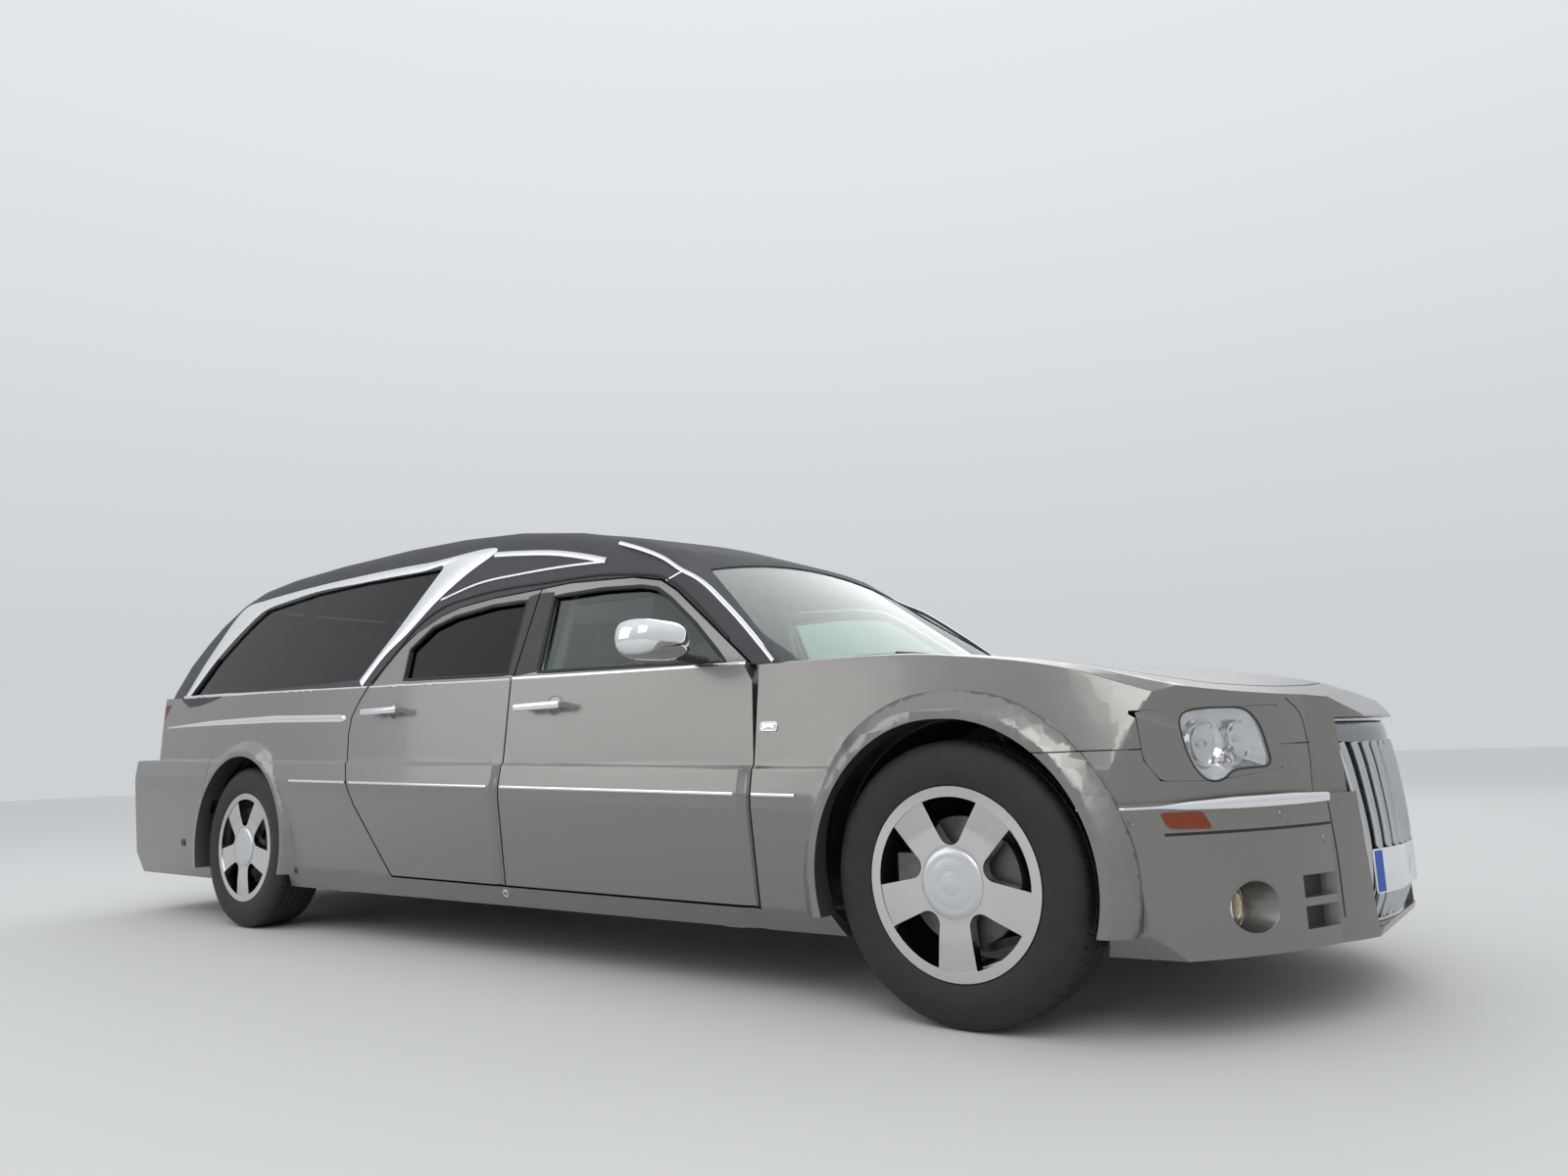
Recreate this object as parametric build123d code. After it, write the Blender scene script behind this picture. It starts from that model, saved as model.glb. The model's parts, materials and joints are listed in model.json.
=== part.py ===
from build123d import *
import math
import os

# A stretched four-door hearse with a raised covered roof.
# Sizes are in mm. X runs forward from the middle of the wheelbase, Y to the left, Z up from the ground.
# The saved pieces are shifted along X so that the origin lies under the middle of the whole car.

# Driving dimensions
WHEELBASE = 3726.0
FRONT_OVERHANG = 904.0
REAR_OVERHANG = 1317.0
TRACK = 1600.0
BODY_HALF = 940.0
SILL_BOTTOM = 200.0
BELT_HALF = 880.0
DOOR_WALL = 70.0
UPPER_WALL = 45.0
SKIN = 28.0
SHUT_GAP = 8.0
SEAT_GAP = 0.3
EDGE_DEPTH = 14.0
EDGE_RUN = 9.0

os.makedirs("parts", exist_ok=True)

FRONT_AXLE = WHEELBASE / 2
REAR_AXLE = -WHEELBASE / 2
NOSE_X = FRONT_AXLE + FRONT_OVERHANG
TAIL_X = REAR_AXLE - REAR_OVERHANG
ORIGIN_SHIFT = (REAR_OVERHANG - FRONT_OVERHANG) / 2

# Wheels: 225/60 R18 tyre on a five-spoke rim
TYRE_RADIUS = 363.5
TYRE_WIDTH = 225.0
RIM_RADIUS = 245.0
WHEEL_Z = TYRE_RADIUS
ARCH_RADIUS = 406.0
ARCH_Z = 375.0
FLARE_RADIUS = 462.0
HOUSE_INNER_Y = 468.0

# Lines along the side, which all rise to the rear: height at mid wheelbase, fall for each mm forward
LINES = {
    "seam": (280.0, 0.0088),
    "strip": (625.5, 0.0272),
    "crease": (709.5, 0.0286),
    "belt": (1007.5, 0.0342),
}


def line_z(name, x):
    height, fall = LINES[name]
    return height - fall * x


def save(name, *shapes):
    """Write the node, moved so that X = 0 lies under the middle of the car."""
    moved = [Pos(ORIGIN_SHIFT, 0, 0) * shape for shape in shapes]
    solids = [solid for shape in moved for solid in shape.solids()]
    whole = solids[0] if len(solids) == 1 else Compound(children=solids)
    export_step(whole, f"parts/{name}.step")


def mirrored(shape):
    return mirror(shape, about=Plane.XZ)


def section(points_yz, x):
    """Closed face across the car at x from the right-hand half's points, bottom to top."""
    right = [(x, -y, z) for y, z in points_yz]
    left = [(x, y, z) for y, z in reversed(points_yz) if y > 0]
    outline = right + left
    return Face(Wire(Polyline(*outline, close=True).edges()))


def side_prism(points_xz, y_from, y_to):
    """Outline drawn in side view, carried across the car from y_from to y_to."""
    outline = [(x, y_from, z) for x, z in points_xz]
    face = Face(Wire(Polyline(*outline, close=True).edges()))
    return extrude(face, amount=abs(y_to - y_from), dir=(0, math.copysign(1, y_to - y_from), 0))


def plan_prism(points_xy, z_from, z_to):
    """Outline drawn in plan view, carried upward from z_from to z_to."""
    outline = [(x, y, z_from) for x, y in points_xy]
    face = Face(Wire(Polyline(*outline, close=True).edges()))
    return extrude(face, amount=z_to - z_from, dir=(0, 0, 1))


def main_solid(shape):
    """The largest solid of a cut piece, without the crumbs that a cut leaves."""
    return shape.solids().sort_by(SortBy.VOLUME)[-1]


def block(x0, x1, y0, y1, z0, z1):
    return Pos((x0 + x1) / 2, (y0 + y1) / 2, (z0 + z1) / 2) * Box(abs(x1 - x0), abs(y1 - y0), abs(z1 - z0))


def cross_cylinder(x, z, radius, y0, y1):
    """Cylinder across the car."""
    return Pos(x, (y0 + y1) / 2, z) * Rot(90, 0, 0) * Cylinder(radius, abs(y1 - y0))


# Lower body form

# Columns: x, widest half width, shoulder half width, shoulder height above the belt line, crown above it
LOWER_RIBS = [
    (TAIL_X - 40, 905, 845, 0, 6),
    (REAR_AXLE, 938, 878, 0, 8),
    (0, BODY_HALF, BELT_HALF, 0, 8),
    (1230, 938, 878, 8, 30),
    (FRONT_AXLE, 925, 858, 5, 24),
    (2180, 905, 838, -40, -6),
    (2450, 872, 790, -125, -38),
    (NOSE_X + 40, 830, 700, -205, -120),
]
BAND_LEAN = 14.0
BAND_STEP = 10.0


def lower_form(inset):
    """Body below the belt, with bonnet and wings, and its skin set in by the inset."""
    ribs = []
    for x, wide, shoulder, shoulder_up, crown_up in LOWER_RIBS:
        belt = line_z("belt", x)
        crease = line_z("crease", x)
        fade = 1.0 if x < FRONT_AXLE else 0.3
        half = [
            (0, SILL_BOTTOM + inset),
            (wide - 80 - inset, SILL_BOTTOM + inset),
            (wide - 34 - inset, line_z("seam", x)),
            (wide - inset, line_z("strip", x) - 40),
            (wide - inset, line_z("strip", x)),
            (wide - BAND_LEAN * fade - inset, crease - BAND_STEP * fade),
            (wide - (BAND_LEAN + BAND_STEP) * fade - inset, crease),
            (shoulder - inset, belt + shoulder_up - inset * 0.4),
            (shoulder - 40 - inset, belt + shoulder_up + 0.35 * (crown_up - shoulder_up) - inset),
            (0, belt + crown_up - inset),
        ]
        ribs.append(section(half, x))
    return loft(ribs, ruled=True)


def end_plan(middle, corner, bend, side, inset):
    """Plan outline of one half of the car: an arc across the end, then an arc round each corner."""
    inward = -math.copysign(inset, middle)
    (cx, cy), (bx, by), (sx, sy) = [(x + inward, y - inset) for x, y in (corner, bend, side)]
    across = ThreePointArc((cx, -cy), (middle + inward, 0), (cx, cy))
    left = ThreePointArc((cx, cy), (bx, by), (sx, sy))
    right = ThreePointArc((sx, -sy), (bx, -by), (cx, -cy))
    back = Polyline((sx, sy), (0, 1100), (0, -1100), (sx, -sy))
    return Face(Wire(across.edges() + left.edges() + back.edges() + right.edges()))


# Rear panels in plan: the end's middle, its corner, the bend and the side
REAR_PANEL_PLAN = (TAIL_X + 165, (TAIL_X + 240, 740), (TAIL_X + 300, 850), (TAIL_X + 560, 925))


def end_form(inset):
    """Plan limits of the body: bumpers reach further than the panels above them."""
    rear_low = end_plan(TAIL_X, (TAIL_X + 70, 840), (TAIL_X + 96, 900), (TAIL_X + 320, 945), inset)
    rear_high = end_plan(*REAR_PANEL_PLAN, inset)
    front_low = end_plan(NOSE_X, (2655, 400), (2520, 665), (2260, 925), inset)
    front_high = end_plan(NOSE_X - 10, (2625, 400), (2492, 665), (2240, 925), inset)
    low_z = SILL_BOTTOM - 50
    parts = [
        Pos(0, 0, low_z) * extrude(rear_low, 785 - inset - low_z, dir=(0, 0, 1)),
        Pos(0, 0, 785 - inset - 1) * extrude(rear_high, 700, dir=(0, 0, 1)),
        Pos(0, 0, low_z) * extrude(front_low, 560 - inset - low_z, dir=(0, 0, 1)),
        Pos(0, 0, 560 - inset - 1) * extrude(front_high, 900, dir=(0, 0, 1)),
    ]
    whole = parts[0]
    for part in parts[1:]:
        whole = whole + part
    nose = [(1000, 100), (2690 - inset, 100), (2718 - inset, 202), (2757 - inset, 300), (NOSE_X - inset, 430),
            (2760 - inset, 560), (2744 - inset, 680), (2723 - inset, 755 - inset), (2640 - inset, 826 - inset),
            (2570 - inset, 862 - inset), (2500, 1500), (1000, 1500)]
    tail = [(1000, 100), (1000, 1500), (TAIL_X - 50, 1500), (TAIL_X - 50, 100)]
    return whole & (side_prism(nose, -1100, 1100) + side_prism(tail, -1100, 1100))


# Upper body form

# Columns: x, crown height, half width at the belt
ROOF_RIBS = [
    (-2955, 1140, 795),
    (-2860, 1262, 826),
    (-2760, 1382, 852),
    (-2660, 1488, 862),
    (-2575, 1561, 868),
    (-2440, 1645, 871),
    (-2300, 1690, 872),
    (-2060, 1717, 872),
    (-1650, 1732, 872),
    (-1100, 1735, 872),
    (-700, 1723, 872),
    (-300, 1690, 872),
    (80, 1630, 872),
    (460, 1541, 869),
    (800, 1427, 862),
    (1520, 1150, 850),
]
SIDE_LEAN = 0.40
SHOULDER_DROP = 128.0
SHOULDER_RUN = 175.0
CROWN_DROP = 30.0

SCREEN_BASE = (1470.0, 990.0)
SCREEN_TOP = (790.0, 1420.0)
SCREEN_RADIUS = 3520.0


def roof_rib(x, crown, base, inset):
    belt = line_z("belt", x)
    half = base - inset
    low = belt - 130
    crown_z = crown - CROWN_DROP - inset
    side_z = min(max(crown - SHOULDER_DROP - inset * 0.6, belt + 15), crown_z - 10)
    knee = min(belt, side_z - 10)
    side_y = half - SIDE_LEAN * (side_z - knee)
    crown_y = side_y - SHOULDER_RUN
    lean = Vector(0, SIDE_LEAN, 1)
    right = Polyline((x, -half, low), (x, -half, knee), (x, -side_y, side_z))
    right_arc = TangentArc((x, -side_y, side_z), (x, -crown_y, crown_z), tangent=lean)
    top = ThreePointArc((x, -crown_y, crown_z), (x, 0, crown - inset), (x, crown_y, crown_z))
    left_arc = TangentArc((x, side_y, side_z), (x, crown_y, crown_z), tangent=Vector(0, -SIDE_LEAN, 1))
    left = Polyline((x, half, low), (x, half, knee), (x, side_y, side_z))
    base_line = Line((x, -half, low), (x, half, low))
    edges = right.edges() + right_arc.edges() + top.edges() + left_arc.edges() + left.edges() + base_line.edges()
    return Face(Wire.combine(edges)[0])


def screen_plane():
    """Plane at the foot of the windscreen, with Z up along the glass and Y into the car."""
    rise = Vector(SCREEN_TOP[0] - SCREEN_BASE[0], 0, SCREEN_TOP[1] - SCREEN_BASE[1]).normalized()
    return Plane(origin=(SCREEN_BASE[0], 0, SCREEN_BASE[1]), x_dir=(0, 1, 0), z_dir=rise)


def screen_drum(inset):
    """Very large cylinder whose skin is the windscreen's outer face, set in by the inset."""
    drum = Pos(0, SCREEN_RADIUS, 500) * Cylinder(SCREEN_RADIUS - inset, 8000)
    return screen_plane() * drum


def upper_form(inset, screen_inset):
    ribs = [roof_rib(x, crown, base, inset) for x, crown, base in ROOF_RIBS]
    return loft(ribs, ruled=True) & screen_drum(screen_inset)



# Outlines in side view, as x and z

DOOR_SPLIT = [(54, 1358), (60, 1000), (66, 279)]
FRONT_DOOR_EDGE = [(1222, 271), (1224, 700), (1206, 925), (1166, 984)]
FRONT_DOOR_TOP = [(776, 1263), (687, 1312), (543, 1341), (214, 1362)]
REAR_DOOR_TOP = [(-239, 1354), (-437, 1340), (-551, 1315), (-691, 1255), (-811, 1158), (-872, 1052)]
REAR_DOOR_EDGE = [(-940, 980), (-978, 920), (-986, 850), (-966, 730), (-930, 640), (-880, 560), (-646, 285)]
FRONT_DOOR = FRONT_DOOR_EDGE + FRONT_DOOR_TOP + DOOR_SPLIT
REAR_DOOR = [(x - SHUT_GAP, z) for x, z in reversed(DOOR_SPLIT)] + REAR_DOOR_TOP + REAR_DOOR_EDGE
FRONT_WINDOW = [(186, 1026), (140, 1318), (400, 1317), (600, 1302), (680, 1284), (755, 1240), (900, 1136),
                (1072, 994)]
REAR_WINDOW = [(16, 1030), (-14, 1320), (-226, 1323), (-459, 1302), (-591, 1268), (-694, 1186), (-658, 1055)]
QUARTER_GLASS = [(-2566, 1092), (-2442, 1288), (-2280, 1440), (-2158, 1520), (-1703, 1556), (-1290, 1560),
                 (-671, 1545), (-733, 1465), (-848, 1281), (-998, 1081)]

OUTER_Y = 1200.0
INNER_Y = 400.0


def grown_loop(points, amount):
    """Flat face of the outline, grown outward by the amount."""
    face = Face(Wire(Polyline(*points, close=True).edges()))
    if amount:
        face = offset(face, amount=amount, kind=Kind.INTERSECTION).faces()[0]
    return face


def right_prism(points_xz, grow=0.0):
    """Prism of a side-view outline through the right-hand wall only."""
    face = Plane.XZ * grown_loop(points_xz, grow)
    return Pos(0, -INNER_Y, 0) * extrude(face, OUTER_Y - INNER_Y, dir=(0, -1, 0))


# Master shells

low_outer = lower_form(0) & end_form(0)
cabin_well = plan_prism([(1235, 800), (-2500, 800), (-2850, 640),
                         (-2850, -640), (-2500, -800), (1235, -800)], 260, 1200)
wall_inner = (lower_form(DOOR_WALL) & end_form(DOOR_WALL)) + cabin_well
skin_inner = lower_form(SKIN) & end_form(SKIN)
up_outer = upper_form(0, 0)
up_inner = upper_form(UPPER_WALL, 30)
tail_corners = block(-3300, -2700, -1100, 1100, 800, 1700)
tail_corners = tail_corners - Pos(0, 0, 700) * extrude(end_plan(*REAR_PANEL_PLAN, 0), 1100, dir=(0, 0, 1))
low_wall = low_outer - wall_inner
low_skin = low_outer - skin_inner
up_wall = up_outer - up_inner - low_outer - tail_corners
right_side = block(-3300, 3000, -1100, -INNER_Y, 150, 1500)
side_wall = (low_wall + up_wall) & right_side

# Wheel arches and flares


def arches(radius, y0, y1):
    return [cross_cylinder(x, ARCH_Z, radius, y0, y1) for x in (FRONT_AXLE, REAR_AXLE)]


def flare(x):
    """Right-hand flared lip round one arch, above the sill."""
    lip = 943.0
    profile = [(ARCH_RADIUS, 868), (ARCH_RADIUS, lip), (ARCH_RADIUS + 26, lip), (FLARE_RADIUS + 16, 903),
               (FLARE_RADIUS + 16, 868)]
    face = Face(Wire(Polyline(*[(r, -y, 0) for r, y in profile], close=True).edges()))
    ring = revolve(face, Axis.Y, 360)
    ring = Pos(x, 0, ARCH_Z) * ring
    return ring & block(x - 600, x + 600, -1100, -800, SILL_BOTTOM + 60, 1100)


front_flare = flare(FRONT_AXLE)
rear_flare = flare(REAR_AXLE)
arch_cuts = arches(ARCH_RADIUS, -HOUSE_INNER_Y, -1100)

# Doors


def edge_step(edge):
    """Strip taken off the inner part of a door's rear edge, so that it clears as the door swings."""
    strip = edge + [(x + EDGE_RUN, z) for x, z in reversed(edge)]
    return right_prism([(strip[0][0], strip[0][1] + 20)] + strip + [(strip[-1][0], strip[-1][1] + 20)]) & behind_skin


behind_skin = lower_form(EDGE_DEPTH) + upper_form(EDGE_DEPTH, EDGE_DEPTH)
front_door = (side_wall & right_prism(FRONT_DOOR)) - right_prism(FRONT_WINDOW) - edge_step(DOOR_SPLIT)
rear_edge_line = REAR_DOOR_TOP[1:] + REAR_DOOR_EDGE
HINGE_PADS = [(540, 600, 848 + SEAT_GAP), (640, 690, 841.6 + SEAT_GAP)]
rear_door = (side_wall & right_prism(REAR_DOOR)) - right_prism(REAR_WINDOW) - edge_step(rear_edge_line)
glass_band = upper_form(16, 16) - upper_form(21, 21)
front_pane = glass_band & right_prism(FRONT_WINDOW, -SEAT_GAP)
rear_pane = glass_band & right_prism(REAR_WINDOW, -SEAT_GAP)
quarter_pane = glass_band & right_prism(QUARTER_GLASS, -SEAT_GAP)


def rear_prism(points_yz, x_from, x_to, grow=0.0):
    """Outline drawn from behind, carried along the car."""
    face = Plane.YZ * grown_loop(points_yz, grow)
    return Pos(x_from, 0, 0) * extrude(face, x_to - x_from, dir=(1, 0, 0))


def door_handle(x_front, x_rear, z):
    """Pull handle standing off the door skin on two feet."""
    y = 930.0
    grip = Pos((x_front + x_rear) / 2, -y - 12, z) * Box(x_front - x_rear, 14, 26)
    grip = chamfer(grip.edges(), 5)
    feet = [block(x - 14, x + 14, -y - 8, -880, z - 9, z + 9) for x in (x_rear + 26, x_front - 26)]
    return (grip + feet) - side_wall


def mirror_housing():
    """Door mirror: rounded shell on a foot that seats at the front corner of the window."""
    face = [(-1160, 1045), (-1150, 1110), (-1105, 1132), (-960, 1126), (-915, 1090), (-915, 1020), (-960, 1004),
            (-1120, 1006)]
    shell = rear_prism(face, 905, 935)
    nose = loft([Plane.YZ.offset(935) * grown_loop(face, 0), Plane.YZ.offset(1000) * grown_loop(face, -16),
                 Plane.YZ.offset(1028) * grown_loop(face, -36)], ruled=True)
    shell = Pos(965, -1035, 0) * Rot(0, 0, -8) * Pos(-965, 1035, 0) * (shell + nose)
    arm = Pos(1010, -915, 1006) * Box(90, 160, 26)
    return (shell + arm) - side_wall - upper_form(0, 0)


for low, high, seat_y in HINGE_PADS:
    front_door = front_door + block(1140, 1180, -900, -seat_y, low, high)
    rear_door = rear_door + block(24, 56, -900, -seat_y, low, high)

pieces = {
    "door_front": front_door,
    "door_rear": rear_door,
    "door_glass_front": front_pane,
    "door_glass_rear": rear_pane,
    "handle_front": door_handle(393, 151, 900),
    "handle_rear": door_handle(-589, -837, 932),
    "mirror": mirror_housing(),
}
for name, piece in pieces.items():
    save(f"{name}_right", piece)
    save(f"{name}_left", mirrored(piece))
save("quarter_glasses", quarter_pane, mirrored(quarter_pane))

# Windscreen

screen_out = screen_plane().x_dir.cross(screen_plane().z_dir)
glass_plane = Plane(origin=(SCREEN_BASE[0], 0, SCREEN_BASE[1]), x_dir=(0, 1, 0), z_dir=screen_out)


def screen_prism(grow):
    """Outline of the windscreen seen square on, carried through the glass."""
    low = ThreePointArc((835, 150), (0, 8), (-835, 150))
    left = Line((-835, 150), (-600, 762))
    high = ThreePointArc((-600, 762), (0, 795), (600, 762))
    right = Line((600, 762), (835, 150))
    face = Face(Wire(low.edges() + left.edges() + high.edges() + right.edges()))
    if grow:
        face = offset(face, amount=grow, kind=Kind.INTERSECTION).faces()[0]
    return glass_plane * (Pos(0, 0, -260) * extrude(face, 340, dir=(0, 0, 1)))


screen_shell = screen_drum(4) - screen_drum(10)
windscreen = screen_shell & screen_prism(0)

# Roof, with its pillars down to the belt

tailgate_outline = [(-640, 806), (-650, 1100), (-560, 1330), (-420, 1560), (420, 1560), (560, 1330), (650, 1100),
                    (640, 806)]


TAILGATE_GAP = 10.0
TAILGATE_STEP = 20.0
tailgate_cut = rear_prism(tailgate_outline, -3300, -2420, TAILGATE_GAP)
openings_right = (right_prism(FRONT_DOOR, SHUT_GAP) + right_prism(REAR_DOOR, SHUT_GAP)
                  + right_prism(QUARTER_GLASS))
roof = up_wall - openings_right - mirrored(openings_right) - screen_prism(SEAT_GAP) - tailgate_cut
save("roof", main_solid(roof))
save("windscreen", windscreen)

tailgate_wall = (low_wall + up_wall) & rear_prism(tailgate_outline, -3300, -2420)
tailgate_window = [(-560, 1120), (-480, 1330), (-360, 1510), (360, 1510), (480, 1330), (560, 1120)]
tailgate_rim = rear_prism(tailgate_outline, -3300, -2420) - rear_prism(tailgate_outline, -3300, -2420, -TAILGATE_STEP)
tailgate = tailgate_wall - rear_prism(tailgate_window, -3300, -2420) - (tailgate_rim & behind_skin)
tailgate_glass = glass_band & rear_prism(tailgate_window, -3300, -2420, -SEAT_GAP)
for y in (-250, 250):
    tailgate = tailgate + block(-2545, -2515, y - 30, y + 30, 1530, 1560 + TAILGATE_GAP - SEAT_GAP)
save("tailgate", main_solid(tailgate))
save("tailgate_glass", tailgate_glass)

# Side frames: sills, centre posts and rear quarters

FENDER_SEAM = 1230.0
BULKHEAD_X = 1192.0
JACK_PAD_X = (1050.0, -1150.0)
SILL_INNER = 692.0
bumper_zone = block(-3300, -2215, -1100, 1100, 100, 786)
lamp_side = [(-3200, 800), (-2905, 800), (-2885, 957), (-2790, 1070), (-3200, 1070)]
lamp_right = side_prism(lamp_side, -1100, -662)
tail_lamp = low_wall & lamp_right
lower_right = low_wall & block(-3050, FENDER_SEAM, -1100, -SILL_INNER, 150, 1300)
side_frame = lower_right + (rear_flare - low_outer)
side_frame = side_frame - openings_right - bumper_zone - tailgate_cut - side_prism(lamp_side, -1100, -655)
for cut in arch_cuts:
    side_frame = side_frame - cut
centre_post = rear_prism([(-812, 240), (-812, 262), (-848, 600), (-832, 700), (-790, 930), (-786, 1010), (-656, 1374),
                          (-668, 1396), (-620, 1396), (-742, 1010), (-746, 930), (-788, 700), (-800, 600),
                          (-764, 240)], 15, 165)
front_post = rear_prism([(-812, 240), (-812, 262), (-848, 600), (-832, 700), (-800, 870), (-756, 870), (-764, 240)],
                        1130, BULKHEAD_X - SEAT_GAP)
jack_pads = [block(x - 40, x + 40, -810, -730, 188, SILL_BOTTOM + 10) for x in JACK_PAD_X]
side_frame = side_frame + centre_post + front_post + jack_pads
side_frame = main_solid(side_frame)
save("side_frames", side_frame, mirrored(side_frame))
save("tail_lamps", tail_lamp, mirrored(tail_lamp))

# Front end: fenders, bonnet, nose shell and bumper

BONNET_SIDE = [(1338, 775), (1900, 735), (2300, 640), (2440, 545), (2515, 400)]


def bonnet_prism(grow):
    """Plan outline of the bonnet, carried through the front end."""
    forward = (-grow, 0, grow, grow, grow)
    right = [(x + step, -y - grow) for (x, y), step in zip(BONNET_SIDE, forward)]
    left = [(x, -y) for x, y in reversed(right)]
    sides = Polyline(*right).edges() + Polyline(*left).edges()
    front = ThreePointArc(right[-1], (2585 + 1.3 * grow, 0), left[0]).edges()
    rear = ThreePointArc(left[-1], (1575 - grow, 0), right[0]).edges()
    face = Face(Wire.combine(sides + front + rear)[0])
    return Pos(0, 0, 640) * extrude(face, 600, dir=(0, 0, 1))


bonnet = low_skin & bonnet_prism(0)
bonnet_cut = bonnet_prism(SHUT_GAP)
nose_zone = block(2380, 2900, -392, 392, 150, 1000)
nose_cut = block(2370, 2900, -392 - SEAT_GAP, 392 + SEAT_GAP, 150, 1000)
seam_z = 688.0
bumper_front_zone = block(2085, 2900, -1100, 1100, 150, seam_z)
headlamp_front = [(-500, 784), (-500, 628), (-700, 606), (-800, 610), (-828, 660), (-836, 778)]
headlamp_prism = rear_prism(headlamp_front, 2330, 2900)
headlamp_hole = rear_prism(headlamp_front, 2330, 2900, SEAT_GAP)
headlamp = low_wall & headlamp_prism
scuttle_zone = block(FENDER_SEAM + 1, 1620, -768, 768, 800, 1100)
seal_seat = lower_form(SKIN + SEAT_GAP) - lower_form(SKIN + 10)
seal_seat = seal_seat & (bonnet_cut - bonnet_prism(-25)) & block(1400, 1620, -500, 500, 800, 1100)
cowl_skin = (low_outer - lower_form(SKIN + 10)) & scuttle_zone
scuttle = main_solid(cowl_skin - bonnet_cut + seal_seat - up_outer)
fender = low_skin & block(FENDER_SEAM + SEAT_GAP, 2700, -1100, -300, 150, 1300)
fender = fender + (front_flare - low_outer)
fender = fender - bonnet_cut - arch_cuts[0] - nose_cut - headlamp_hole - bumper_front_zone
fender = fender - block(1200, 2000, -600, 600, 150, 700) - up_outer - block(1230, 1622, -768.3, 768.3, 800, 1100)
fender = main_solid(fender)
bumper_reach = block(2088, 2900, -1100, 1100, 150, seam_z - 3)
seam_strip = (lower_form(14) & end_form(14)) - skin_inner
seam_strip = seam_strip & block(2120, 2900, -1100, 1100, seam_z - 8, seam_z - SEAT_GAP)
bumper = (low_skin & bumper_reach) + seam_strip + ((front_flare + mirrored(front_flare) - low_outer) & bumper_reach)
bumper = bumper - nose_cut - arch_cuts[0] - mirrored(arch_cuts[0]) - headlamp_hole - mirrored(headlamp_hole)

# Fog lamps in round recesses and the two air slots beside each

FOG_Y, FOG_Z, FOG_RADIUS = 650.0, 310.0, 65.0


def along_cylinder(y, z, radius, x0, x1):
    return Pos((x0 + x1) / 2, y, z) * Rot(0, 90, 0) * Cylinder(radius, x1 - x0)


for side in (-1, 1):
    bumper = bumper - along_cylinder(side * FOG_Y, FOG_Z, FOG_RADIUS, 2380, 2700)
    for low, high in ((245, 298), (318, 371)):
        bumper = bumper - block(2400, 2900, side * 398, side * 515, low, high)
fog_cup = along_cylinder(-FOG_Y, FOG_Z, FOG_RADIUS - SEAT_GAP, 2425, 2700)
fog_cup = (fog_cup - along_cylinder(-FOG_Y, FOG_Z, FOG_RADIUS - 6, 2445, 2710)) & low_outer
fog_lens = along_cylinder(-FOG_Y, FOG_Z, FOG_RADIUS - 12, 2440, 2462)
fog_lamp = fog_cup + fog_lens
save("fog_lamps", fog_lamp, mirrored(fog_lamp))

# Nose shell and its grille of upright bars

GRILLE_TOP, GRILLE_BOTTOM = 748.0, 222.0
GRILLE_HALF_TOP, GRILLE_HALF_BOTTOM = 320.0, 270.0
BARS = 11
BAR_WIDTH = 27.0
grille_outline = [(-GRILLE_HALF_TOP, GRILLE_TOP), (-GRILLE_HALF_BOTTOM, GRILLE_BOTTOM),
                  (GRILLE_HALF_BOTTOM, GRILLE_BOTTOM), (GRILLE_HALF_TOP, GRILLE_TOP)]
nose = main_solid((low_skin & nose_zone) - bonnet_cut - rear_prism(grille_outline, 2600, 2900))
grille_back = lower_form(36) & end_form(36)
grille_rear = lower_form(42) & end_form(42)
back_plate = (grille_back - grille_rear) & rear_prism(grille_outline, 2600, 2900, -SEAT_GAP)
bars = []
for i in range(BARS):
    share = (i - (BARS - 1) / 2) / (BARS / 2)
    top, low = share * GRILLE_HALF_TOP, share * GRILLE_HALF_BOTTOM
    bars.append(rear_prism([(top - BAR_WIDTH / 2, GRILLE_TOP - 70), (low - BAR_WIDTH / 2, GRILLE_BOTTOM + 1),
                            (low + BAR_WIDTH / 2, GRILLE_BOTTOM + 1), (top + BAR_WIDTH / 2, GRILLE_TOP - 70)],
                           2600, 2900))
bar_set = bars[0]
for bar in bars[1:]:
    bar_set = bar_set + bar
grille = main_solid(back_plate + ((low_outer - grille_rear) & bar_set))
save("grille", grille)
save("bonnet", bonnet)
save("fenders", fender, mirrored(fender))
save("bumper_front", main_solid(bumper))
save("nose_shell", nose)
save("headlamps", headlamp, mirrored(headlamp))
rear_reach = block(-3300, -2218, -1100, 1100, 100, 786 - SEAT_GAP)
rear_bumper = (low_skin & rear_reach) + ((rear_flare + mirrored(rear_flare) - low_outer) & rear_reach)
rear_bumper = rear_bumper - arch_cuts[1] - mirrored(arch_cuts[1]) - block(-3060, -2200, -780, 780, 150, 236)
save("bumper_rear", main_solid(rear_bumper))

# Floor, wheel houses, bulkhead and cowl

FLOOR_TOP = 262.0
DECK_TOP = 805.0
KICK_X = REAR_AXLE + 447
REAR_FLOOR = 500.0
HOUSE_EDGE = HOUSE_INNER_Y - 8 - SEAT_GAP
FLOOR_HALF = SILL_INNER - SEAT_GAP
FLOOR_FRONT = BULKHEAD_X - SEAT_GAP
TUNNEL_HALF = 140.0
floor = block(KICK_X - 20, FLOOR_FRONT, -FLOOR_HALF, FLOOR_HALF, FLOOR_TOP - 47, FLOOR_TOP - 2)
tunnel = side_prism([(FLOOR_FRONT, 216), (FLOOR_FRONT, 330), (KICK_X, 300), (KICK_X, 216)], -TUNNEL_HALF, TUNNEL_HALF)
tunnel_bore = side_prism([(1300, 150), (1300, 292), (KICK_X - 100, 262), (KICK_X - 100, 150)], -102, 102)
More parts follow.
